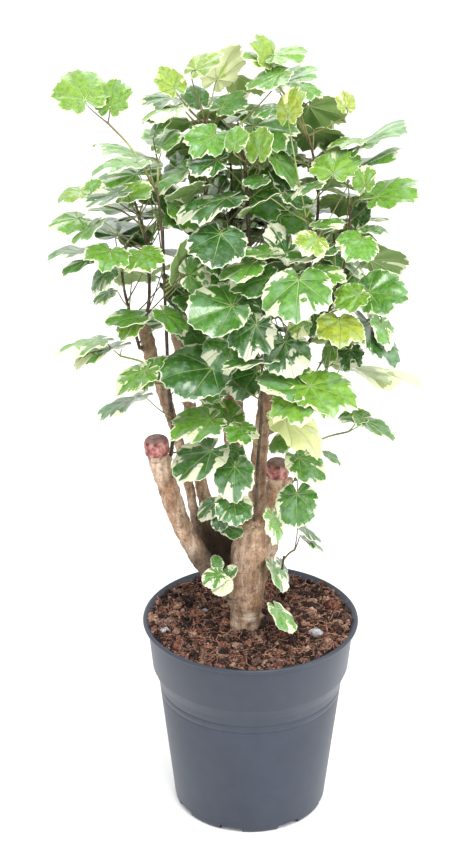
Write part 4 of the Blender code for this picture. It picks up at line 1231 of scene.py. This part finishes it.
def choices_fill(line, seed):
    """A small shaded leaf inside the crown, which only this dressed plant has, and others to try in its place."""
    draw = random.Random(seed)
    for _ in range(REAR_TRIES):
        place = nearest_on(line, line[1].lerp(line[-1], draw.uniform(0.15, 0.95)).z)
        turn = math.radians(draw.uniform(-20, 200))
        out = Vector((math.cos(turn), math.sin(turn), 0.0))
        hub = place + out * draw.uniform(*FILL_STALK) + Vector((0, 0, draw.uniform(0.005, 0.03)))
        stray = Vector((draw.uniform(-0.5, 0.5), draw.uniform(-0.3, 0.3), draw.uniform(-0.8, 0.0)))
        along = (out + stray).normalized()
        up = Vector((draw.uniform(-0.5, 0.5), draw.uniform(-0.9, 0.1), 1.0))
        normal = (up - along * up.dot(along)).normalized()
        tip = hub + along * FILL_BLADE[1] - CROWN_CENTRE
        if hub.z < FILL_LOWEST or sum((c / (r * 0.9)) ** 2 for c, r in zip(tip, CROWN_REACH)) > 1:
            continue
        blade = {"hub": hub, "along": along, "normal": normal, "length": draw.uniform(*FILL_BLADE),
                 "teeth": SMALL_TEETH, "cup": draw.uniform(-0.16, 0.06), "phase": draw.uniform(0, 6.28)}
        yield leaf_of(line, [blade])


def tree_of(pieces):
    """A search tree over the faces of several pieces."""
    points, faces = [], []
    for p, f in pieces:
        faces += [tuple(i + len(points) for i in face) for face in f]
        points += p
    return BVHTree.FromPolygons(points, faces)


def tree_of_object(obj):
    """A search tree over an object's faces."""
    return tree_of([([v.co for v in obj.data.vertices], [tuple(p.vertices) for p in obj.data.polygons])])


def crossings(leaf, own):
    """How often a leaf's faces cross those of other leaves on its own shoot, or its blades cross the stem."""
    whole, blades = tree_of(leaf_pieces(leaf)), tree_of(blade_pieces(leaf))
    return sum(len(blades.overlap(other)) + len(whole.overlap(other_blades)) for other, other_blades in own)


def grow_leaves(lines, blocked):
    """Each shoot's leaves, in turn. Of its choices that stand clear of other shoots, a leaf takes the first
    that crosses no leaf of its own shoot, or else the one that crosses them least."""
    grown = {name: [] for name in SHOOTS}
    nothing = tree_of([])
    taken = {name: [(tree_of([tube(line, [SHOOTS[name]["radius"] * MM] * len(line), SHOOT_SIDES)]), nothing)]
             for name, line in lines.items()}
    wanted = []
    for order, (name, shoot) in enumerate(SHOOTS.items()):
        line, seed = lines[name], 100 * order
        wanted += [(name, choices_seen(line, marks, seed + k)) for k, marks in enumerate(shoot["leaves"])]
    for order, (name, shoot) in enumerate(SHOOTS.items()):
        seeds = [REAR_SEED + 1000 * order + k for k in range(shoot["rear"])]
        wanted += [(name, choices_rear(lines[name], seed)) for seed in seeds]
    for order, name in enumerate(SHOOTS):
        seeds = [FILL_SEED + 1000 * order + k for k in range(FILL_LEAVES.get(name, 0))]
        wanted += [(name, choices_fill(lines[name], seed)) for seed in seeds]
    for name, choices in wanted:
        others = [tree for other in SHOOTS if other != name for tree, _ in taken[other]]
        best, least = None, math.inf
        for leaf in choices:
            wide = BLADE_THICKNESS + 2 * CLEAR_OF_OTHERS
            guard = tree_of(leaf_pieces(leaf, wide, STALK_RADIUS + CLEAR_OF_OTHERS))
            if any(guard.overlap(tree) for tree in (*blocked, *others)):
                continue
            count = crossings(leaf, taken[name])
            if count < least:
                best, least = leaf, count
            if count == 0:
                break
        if best:
            grown[name].append(best)
            taken[name].append((tree_of(leaf_pieces(best)), tree_of(blade_pieces(best))))
    return grown

# %% [markdown]
# ## One leaf, modelled once
# A polyscias leaf is round, with seven shallow lobes and small teeth, and a deep gap where the stalk joins.
# A circle gives its rim. The rim's corners are moved out and in by the outline rule, and the rim is then
# extruded inwards ring by ring to the hub, which gives the blade the rings it needs to arch. Each corner
# remembers how far out it stands, for the cream margin.

# %% Leaf master
LEAF_CORNERS = 81
LEAF_RINGS = (0.93, 0.78, 0.56, 0.34, 0.14)
LEAF_CIRCLE = 0.69
LEAF_FORWARD = 0.31
GAP_TURN = math.radians(172)
VEIN_TURN = math.radians(44.67)
# Each sort of leaf: how deep its lobes are cut, how far its teeth stand out, and how it leans to one side
LEAF_SORTS = {"lobed": (0.19, 0.036, 0.05), "broad": (0.11, 0.030, -0.05), "shallow": (0.055, 0.026, 0.04),
              "round": (0.015, 0.018, 0.0)}
# Below this height in metres the leaves are the oldest and the roundest
ROUND_BELOW = 0.42


def leaf_reach(angle, corner, lobe_cut, tooth, lean):
    """How far the rim stands from the hub at an angle from the tip, for a leaf one unit long."""
    sideways = LEAF_FORWARD * math.sin(angle)
    reach = LEAF_FORWARD * math.cos(angle) + math.sqrt(LEAF_CIRCLE**2 - sideways**2)
    between = 1 - abs(math.cos(angle / VEIN_TURN * math.pi)) ** 0.7
    reach *= 1.01 - lobe_cut * between + lean * math.sin(angle)
    reach *= 1 + (tooth if corner % 3 == 1 else -tooth * 0.6)
    gap = min(1.0, (GAP_TURN - abs(angle)) / math.radians(20))
    return reach * max(0.05, gap * gap * (3 - 2 * gap))


def corner_angle(corner):
    """The angle of a rim corner from the tip."""
    return GAP_TURN * (1 - 2 * corner / (LEAF_CORNERS - 1))


def leaf_master(name, shape):
    """A flat leaf one unit long, its hub at the origin and its tip along +Y."""
    bpy.ops.object.select_all(action="DESELECT")
    bpy.ops.mesh.primitive_circle_add(vertices=LEAF_CORNERS, radius=1.0, fill_type="NOTHING")
    made = bpy.context.object
    made.name = "leaf_" + name
    for k, corner in enumerate(made.data.vertices):
        reach = leaf_reach(corner_angle(k), k, *shape)
        corner.co = (math.sin(corner_angle(k)) * reach, math.cos(corner_angle(k)) * reach, 0)
    bpy.ops.object.mode_set(mode="EDIT")
    bpy.ops.mesh.select_all(action="SELECT")
    size = 1.0
    for ring in (*LEAF_RINGS, 0.0):
        bpy.ops.mesh.extrude_region_move(TRANSFORM_OT_translate={"value": (0, 0, 0)})
        bpy.ops.transform.resize(value=(ring / size, ring / size, 1), center_override=(0, 0, 0))
        size = ring
    bpy.ops.mesh.select_all(action="SELECT")
    bpy.ops.mesh.remove_doubles(threshold=0.001)
    bpy.ops.mesh.normals_make_consistent(inside=False)
    bpy.ops.object.mode_set(mode="OBJECT")
    if made.data.polygons[0].normal.z < 0:
        made.data.flip_normals()
    outwards = made.data.attributes.new("outwards", "FLOAT", "POINT")
    for corner, value in zip(made.data.vertices, outwards.data):
        around = round((1 - math.atan2(corner.co.x, corner.co.y) / GAP_TURN) / 2 * (LEAF_CORNERS - 1))
        full = leaf_reach(corner_angle(around), around, *shape)
        value.value = min((1.0, *LEAF_RINGS, 0.0), key=lambda ring: abs(ring * full - corner.co.length))
    blade_map = made.data.uv_layers.new(name="blade")
    for loop, slot in zip(made.data.loops, blade_map.data):
        slot.uv = made.data.vertices[loop.vertex_index].co.xy
    print(made.name, len(made.data.polygons), "faces")
    return made


leaf_masters = {name: leaf_master(name, shape) for name, shape in LEAF_SORTS.items()}

# %% [markdown]
# ## Leaf finishes
# The upper side is a waxy cuticle over green: glossy, IOR about 1.45. What makes the plant is its variegation.
# The green stops short of the rim at a ragged line that wanders in and out round the leaf, and now and then a
# whole wedge between two veins stays cream. Veins run out from the hub to each lobe, paler than the blade, and
# the tissue between them is puckered and mottled. Each leaf carries its own age, from dark old green to young yellow-green,
# and its own share of cream.

# %% Leaf materials
SIDE_VEINS = 6.0


def leaf_pattern(tree):
    """Outputs that both sides share: masks for cream, veins and ribs, the puckering and the leaf's own age."""
    blade = add(tree, "UVMap", {"uv_map": "blade"}).outputs[0]
    outwards = add(tree, "Attribute", {"attribute_name": "outwards"}).outputs["Fac"]
    age = add(tree, "Attribute", {"attribute_name": "age"}).outputs["Fac"]
    cream = add(tree, "Attribute", {"attribute_name": "cream"}).outputs["Fac"]
    own = add(tree, "Attribute", {"attribute_name": "own"}).outputs["Fac"]
    split = add(tree, "SeparateXYZ", None, Vector=blade)
    x, y = split.outputs["X"], split.outputs["Y"]
    angle = sums(tree, "ARCTAN2", x, y)
    reach = add(tree, "VectorMath", {"operation": "LENGTH"}, in_0=blade).outputs["Value"]
    around = add(tree, "CombineXYZ", None, X=sums(tree, "SINE", angle), Y=sums(tree, "COSINE", angle), Z=own)
    wander = add(tree, "TexNoise", None, Vector=around.outputs[0], Scale=2.6, Detail=3.0, Roughness=0.6).outputs["Fac"]
    wedge = add(tree, "TexNoise", None, Vector=around.outputs[0], Scale=1.5, Detail=1.0).outputs["Fac"]
    spot = add(tree, "CombineXYZ", None, X=x, Y=y, Z=own)
    patches = add(tree, "TexVoronoi", None, Vector=spot.outputs[0], Scale=9.0).outputs["Color"]
    ragged = add(tree, "SeparateColor", None, Color=patches).outputs[0]
    # The margin's depth grows with the leaf's share of cream, wanders round the leaf and is ragged by small patches
    swing = add(tree, "MapRange", None, Value=wander, in_1=0.47, in_2=0.70).outputs[0]
    albino = sums(tree, "MULTIPLY", sums(tree, "MAXIMUM", sums(tree, "SUBTRACT", cream, 2.0), 0.0), 0.8)
    lowest = sums(tree, "ADD", albino, 0.010)
    depth = sums(tree, "MULTIPLY_ADD", swing, sums(tree, "MULTIPLY_ADD", cream, 0.42, 0.04), lowest)
    line = sums(tree, "MULTIPLY_ADD", sums(tree, "SUBTRACT", ragged, 0.5), sums(tree, "MULTIPLY", depth, -0.9), depth)
    inside = sums(tree, "SUBTRACT", 1.0, outwards)
    margin = add(tree, "MapRange", None, Value=sums(tree, "SUBTRACT", line, inside), in_1=-0.012, in_2=0.008).outputs[0]
    band = add(tree, "MapRange", None, Value=sums(tree, "SUBTRACT", sums(tree, "MULTIPLY_ADD", ragged, 0.20, line), inside),
               in_1=0.09, in_2=0.11).outputs[0]
    # A wedge opens where slow noise round the leaf is high, and starts some way out from the hub
    gate = sums(tree, "SUBTRACT", sums(tree, "MULTIPLY_ADD", cream, 0.17, wedge), 0.70)
    open_wedge = add(tree, "MapRange", None, Value=gate, in_1=0.0, in_2=0.02).outputs[0]
    start = sums(tree, "MULTIPLY_ADD", ragged, 0.5, 0.25)
    far = add(tree, "MapRange", None, Value=sums(tree, "SUBTRACT", outwards, start), in_1=0.0, in_2=0.04).outputs[0]
    pale = sums(tree, "MAXIMUM", margin, sums(tree, "MULTIPLY", open_wedge, far))
    # Distance from the nearest main vein: the angle to it, times the distance from the hub
    turns = sums(tree, "DIVIDE", angle, VEIN_TURN)
    aside = sums(tree, "ABSOLUTE", sums(tree, "SUBTRACT", turns, sums(tree, "ROUND", turns)))
    across = sums(tree, "MULTIPLY", sums(tree, "MULTIPLY", aside, VEIN_TURN), reach)
    width = sums(tree, "MULTIPLY_ADD", outwards, -0.012, 0.015)
    vein = add(tree, "MapRange", None, Value=sums(tree, "SUBTRACT", width, across), in_1=-0.006, in_2=0.004).outputs[0]
    along = sums(tree, "SUBTRACT", reach, sums(tree, "MULTIPLY", across, 0.9))
    ribs = sums(tree, "FRACT", sums(tree, "MULTIPLY", along, SIDE_VEINS))
    off_rib = sums(tree, "ABSOLUTE", sums(tree, "SUBTRACT", ribs, 0.5))
    rib = add(tree, "MapRange", None, Value=off_rib, in_1=0.05, in_2=0.0).outputs[0]
    pucker = add(tree, "TexNoise", None, Vector=spot.outputs[0], Scale=5.5, Detail=2.5).outputs["Fac"]
    mottle = add(tree, "TexNoise", None, Vector=spot.outputs[0], Scale=8.0, Detail=5.0, Roughness=0.7).outputs["Fac"]
    return {"pale": pale, "vein": vein, "rib": rib, "pucker": pucker, "mottle": mottle, "age": age,
            "band": band, "spot": spot.outputs[0]}


def leaf_upper():
    """The upper side of a leaf: a waxy gloss over dark to yellow-green tissue, with cream variegation and patches of
    painted sheen.
    """
    made, tree, shader = new_material("waxy leaf, upper side", 0.34, 1.45, Coat_Weight=0.60, Coat_Roughness=0.15)
    on = leaf_pattern(tree)
    young = ((0.0, "#264f1f"), (0.25, "#3d7027"), (0.55, "#649b2f"), (0.80, "#80a42d"), (1.0, "#a0ad35"))
    green = ramp(tree, on["age"], *young)
    deep = sums(tree, "MULTIPLY", add(tree, "MapRange", None, Value=on["mottle"], in_1=0.50, in_2=0.62).outputs[0], 0.45)
    green = blend(tree, deep, green, "#1c4620")
    light = sums(tree, "MULTIPLY", add(tree, "MapRange", None, Value=on["mottle"], in_1=0.46, in_2=0.36).outputs[0], 0.30)
    green = blend(tree, light, green, "#8dbb52")
    # Painted sheen: soft pale grey-green patches where a reflection of the white sky would lie. The same colour also
    # gives the leaf's real grey-green band beside the cream margin.
    sheen_patch = add(tree, "TexNoise", None, Vector=on["spot"], Scale=2.4, Detail=4.0).outputs["Fac"]
    painted_sheen = sums(tree, "MULTIPLY", add(tree, "MapRange", None, Value=sheen_patch, in_1=0.52, in_2=0.62).outputs[0], 0.30)
    green = blend(tree, sums(tree, "MAXIMUM", painted_sheen, sums(tree, "MULTIPLY", on["band"], 0.36)), green, "#93b79c")
    green = blend(tree, sums(tree, "MULTIPLY", on["rib"], 0.12), green, "#9cc46c")
    green = blend(tree, sums(tree, "MULTIPLY", on["vein"], 0.62), green, "#b2d283")
    cream = ramp(tree, on["age"], (0.0, "#dddfc6"), (0.6, "#e0e4bd"), (1.0, "#dfe3a2"))
    colour = blend(tree, on["pale"], green, cream)
    tree.links.new(colour, shader.inputs["Base Color"])
    height = sums(tree, "SUBTRACT", sums(tree, "MULTIPLY", on["pucker"], 2.2), on["vein"])
    relief(tree, shader, height, 0.9)
    return made


def leaf_under():
    """The under side: matt and paler, because the tissue is spongy there, with the veins standing out."""
    made, tree, shader = new_material("leaf, under side", 0.62, 1.42)
    on = leaf_pattern(tree)
    green = ramp(tree, on["age"], (0.0, "#688450"), (0.5, "#93ae64"), (1.0, "#c2d27c"))
    green = blend(tree, sums(tree, "MULTIPLY", on["vein"], 0.7), green, "#c9d69c")
    cream = ramp(tree, on["age"], (0.0, "#dfe1c2"), (1.0, "#e3e8b4"))
    tree.links.new(blend(tree, on["pale"], green, cream), shader.inputs["Base Color"])
    relief(tree, shader, sums(tree, "ADD", on["vein"], on["pucker"]), 0.8)
    return made


def stem_skin():
    """A young stem: dark brown bark, matt, dotted with pale pores."""
    made, tree, shader = new_material("young stem bark", 0.7, 1.45)
    place = add(tree, "TexCoord").outputs["Object"]
    colour = ramp(tree, noise(tree, place, 9.0, 3.0), (0.35, "#32281f"), (0.60, "#5c4a3b"), (0.75, "#76614c"))
    pores = add(tree, "TexVoronoi", None, Vector=place, Scale=1.0 / (2.6 * MM)).outputs["Distance"]
    dots = add(tree, "MapRange", None, Value=pores, in_1=0.22, in_2=0.12).outputs[0]
    tree.links.new(blend(tree, sums(tree, "MULTIPLY", dots, 0.7), colour, "#a89880"), shader.inputs["Base Color"])
    relief(tree, shader, dots, 0.5)
    return made


def stalk_skin():
    """A leaf stalk: smooth and green, flushed with pinkish brown in long blotches."""
    made, tree, shader = new_material("leaf stalk", 0.42, 1.45)
    place = add(tree, "TexCoord").outputs["Object"]
    colour = ramp(tree, noise(tree, place, 38.0, 2.0), (0.36, "#5f4a3a"), (0.50, "#7d7a48"), (0.62, "#9aa765"))
    tree.links.new(colour, shader.inputs["Base Color"])
    relief(tree, shader, noise(tree, place, 2.5, 2.0), 0.2)
    return made


finishes = [leaf_upper(), leaf_under(), stem_skin(), stalk_skin()]

# %% [markdown]
# ## Growing the shoots
# Each leaf is a copy of the master, bent to its own cup and ripple and laid on its hub. The blades of a shoot
# are joined and given their thickness at once, with the under side's finish on the inner shell. Stem and stalks
# are bevelled curves. All of it becomes one piece that stands for the shoot's solid.

# %% Looks of the leaves
LEAF_THICKNESS = 0.0005
STALK_MM = (1.1, 0.66, 0.52)
STEM_SHARE = 0.52
PLEAT = 0.038
REAR_LOOK = (0.02, 0.42)
REAR_CREAM = (0.05, 0.6)
# The leaves that stand out in the photograph, by the pixel of the hub: age from old to young, and share of cream
LOOKS = {
    (85, 100): (0.72, 0.2), (110, 107): (0.68, 0.2), (142, 156): (0.5, 0.3), (134, 163): (0.5, 0.4),
    (175, 88): (0.86, 0.2), (196, 70): (0.85, 0.2), (217, 79): (1.0, 3.0), (172, 98): (0.3, 0.3),
    (175, 108): (0.7, 1.1), (199, 102): (0.3, 0.3), (222, 108): (0.3, 0.4), (156, 132): (0.5, 0.3),
    (160, 147): (0.5, 0.3), (217, 160): (0.12, 0.3), (80, 191): (0.8, 0.2), (91, 194): (0.6, 0.4),
    (123, 197): (0.7, 0.3), (119, 193): (0.2, 0.7), (198, 188): (0.2, 0.4), (227, 198): (0.1, 0.6),
    (78, 219): (0.6, 0.3), (96, 224): (0.5, 0.3), (110, 251): (0.6, 0.4), (141, 253): (0.62, 0.4),
    (87, 252): (0.3, 0.5), (88, 260): (0.3, 0.5), (109, 271): (0.2, 0.6), (110, 292): (0.4, 0.9),
    (138, 317): (0.4, 0.4), (136, 322): (0.72, 0.2), (97, 340): (0.6, 0.4), (115, 347): (0.4, 0.7),
    (145, 371): (0.6, 0.9), (146, 375): (0.6, 0.4), (151, 372): (0.5, 0.3), (164, 313): (0.5, 0.5),
    (187, 328): (0.3, 0.6), (232, 306): (0.32, 0.25), (221, 234): (0.05, 0.3), (180, 273): (0.3, 0.3),
    (189, 275): (0.4, 0.95), (252, 264): (0.45, 0.6), (137, 397): (0.2, 0.5),
    (270, 64): (0.85, 0.2), (266, 63): (0.8, 0.2), (274, 56): (0.66, 0.3), (280, 74): (0.5, 0.3),
    (283, 83): (0.6, 0.3), (300, 86): (0.5, 0.4), (288, 115): (0.95, 0.1), (273, 108): (0.4, 0.3),
    (259, 154): (0.75, 0.3), (235, 146): (0.6, 0.3), (291, 151): (0.2, 0.3), (346, 108): (0.97, 0.1),
    (361, 146): (0.4, 0.3), (333, 173): (0.68, 0.3), (354, 169): (0.5, 0.3), (377, 197): (0.6, 0.3),
    (365, 186): (0.7, 0.3), (316, 185): (0.3, 0.9), (284, 186): (0.15, 0.3), (263, 180): (0.3, 0.3),
    (290, 196): (0.15, 0.4), (359, 221): (0.1, 0.3), (316, 239): (0.85, 0.8), (319, 226): (0.5, 0.4),
    (361, 239): (0.55, 0.5), (367, 229): (0.4, 0.4), (370, 260): (0.2, 0.2), (287, 255): (0.12, 0.9),
    (269, 254): (0.45, 0.8), (299, 280): (0.42, 0.75), (318, 272): (0.6, 0.7), (326, 250): (0.3, 0.9),
    (359, 294): (0.68, 0.4), (339, 320): (0.98, 0.2), (369, 292): (0.38, 0.3), (370, 324): (0.1, 0.5),
    (381, 322): (0.5, 0.8), (351, 350): (0.05, 0.6), (349, 366): (0.9, 1.0), (303, 321): (0.8, 0.9),
    (314, 318): (0.2, 0.3), (256, 325): (0.08, 0.9), (285, 342): (0.1, 0.9), (303, 388): (0.42, 0.5),
    (304, 393): (0.66, 0.3), (310, 386): (0.66, 0.3), (332, 346): (0.6, 0.1), (264, 361): (0.3, 0.9),
    (235, 307): (0.22, 0.4), (210, 420): (0.58, 0.5), (230, 419): (0.5, 0.3), (197, 386): (0.45, 0.3),
    (211, 451): (0.12, 0.8), (241, 428): (0.52, 0.5), (235, 467): (0.2, 0.4), (234, 499): (0.2, 0.8),
    (297, 494): (0.32, 0.5), (299, 458): (0.32, 0.7), (285, 419): (0.97, 3.6), (288, 437): (0.5, 0.3),
    (272, 517): (0.6, 1.0), (362, 418): (0.3, 0.5), (365, 421): (0.3, 0.5), (217, 567): (0.3, 0.7),
    (229, 576): (0.3, 0.6), (219, 575): (0.4, 0.8), (222, 581): (0.45, 3.0), (273, 567): (0.4, 0.7),
    (277, 609): (0.5, 0.7),
}

# %% Shoots
def look_of(blade, draw):
    """A blade's age and share of cream."""
    if blade.get("px") in LOOKS:
        return LOOKS[blade["px"]]
    rise = max(0.0, (blade["hub"].z - 0.55) / 0.5)
    return (draw.uniform(*REAR_LOOK) + rise, draw.uniform(*REAR_CREAM))


def laid_leaf(blade, draw, rounder):
    """A copy of a master leaf, arched, rippled and laid on its hub."""
    age, cream = look_of(blade, draw)
    sorts = ("lobed", "broad") if age > 0.5 else ("lobed", "broad", "shallow", "shallow")
    sort = draw.choice(("shallow", "round") if blade["hub"].z < ROUND_BELOW and age < 0.6 else sorts)
    if rounder:
        sort = "round"
    copy = leaf_masters[sort].copy()
    copy.data = leaf_masters[sort].data.copy()
    length, along, normal = blade["length"], blade["along"], blade["normal"]
    across = along.cross(normal)
    curl = draw.uniform(-0.30, 0.02)
    for corner in copy.data.vertices:
        x, y, _ = corner.co
        away = x * x + y * y
        turn = math.atan2(x, y)
        lift = blade["cup"] * away + 0.060 * away * math.sin(3.0 * turn + blade["phase"])
        lift += PLEAT * math.sqrt(away) * (1 - math.cos(turn * 2 * math.pi / VEIN_TURN))
        lift += curl * max(0.0, away - 0.45)
        corner.co = blade["hub"] + (across * x + along * y + normal * lift) * length
    for name, value in (("age", age), ("cream", cream), ("own", draw.uniform(0.0, 40.0))):
        made = copy.data.attributes.new(name, "FLOAT", "POINT")
        made.data.foreach_set("value", [value] * len(copy.data.vertices))
    bpy.context.scene.collection.objects.link(copy)
    return copy


def stalk_run(blade, stalk):
    """A blade's stalk as a line from its root, thicker at the root, to just under the hub."""
    root = stalk[-1]
    before = blade["hub"] - blade["along"] * 0.006 - blade["normal"] * 0.0012
    bow = root.lerp(before, 0.5) + Vector((0, 0, -0.03 * (before - root).length))
    points = curve_through([root, bow, before, blade["hub"] + blade["along"] * 0.0015], 4)
    shares = [k / (len(points) - 1) for k in range(len(points))]
    radii = [(STALK_MM[0] + (STALK_MM[1] - STALK_MM[0]) * min(1.0, s / 0.12)) * MM if s < 0.12
             else (STALK_MM[1] + (STALK_MM[2] - STALK_MM[1]) * s) * MM for s in shares]
    return points, radii


def stem_run(line, radius_mm):
    """A shoot's stem as a smooth line, a little thicker every so often where leaves sat."""
    points = [line[0], *curve_through(line[1:], 6)]
    shares = [k / (len(points) - 1) for k in range(len(points))]
    radii = [(radius_mm * STEM_SHARE + (1.0 - radius_mm * STEM_SHARE) * s) * MM * (1.0 + (0.12 if k % 3 == 0 else 0.0))
             for k, s in enumerate(shares)]
    return points, radii


def marked(obj, finish):
    """Gives a piece all the shoot's finishes, and uses one of them all over."""
    obj.data.materials.clear()
    for made in finishes:
        obj.data.materials.append(made)
    obj.data.polygons.foreach_set("material_index", [finish] * len(obj.data.polygons))
    return obj


def grown_shoot(name, line, leaves):
    """One leafy shoot as one piece."""
    draw = random.Random(name)
    stem = marked(drawn_lines(name + "_stem", [stem_run(line, SHOOTS[name]["radius"])], 2), 2)
    runs = []
    for leaf in leaves:
        runs += [stalk_run(blade, stalk) for blade, stalk in zip(leaf["blades"], leaf["stalks"])]
        if leaf["shared"]:
            points = curve_through(leaf["shared"], 4)
            runs.append((points, [0.95 * MM] * len(points)))
    parts = [stem]
    if runs:
        parts.append(marked(drawn_lines(name + "_stalks", runs, 1), 3))
        blades = joined([laid_leaf(blade, draw, name.startswith("sprout")) for leaf in leaves for blade in leaf["blades"]])
        marked(blades, 0)
        shell = blades.modifiers.new("thickness", "SOLIDIFY")
        shell.thickness = LEAF_THICKNESS
        shell.offset = 0.0
        shell.material_offset = 1
        only(blades)
        bpy.ops.object.modifier_apply(modifier=shell.name)
        parts.append(blades)
    made = joined(parts)
    finished(made, name + "_leaves", (name,), 60)


lines = {name: shoot_line(shoot)[0] for name, shoot in SHOOTS.items()}
solid_nodes = ("trunk", "soil", "pot", "wax_left", "wax_right")
grown = grow_leaves(lines, [tree_of_object(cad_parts[node]) for node in solid_nodes])
for name, line in lines.items():
    grown_shoot(name, line, grown[name])
for master in leaf_masters.values():
    bpy.data.objects.remove(master)
print(sum(len(leaf["blades"]) for leaves in grown.values() for leaf in leaves), "leaves")
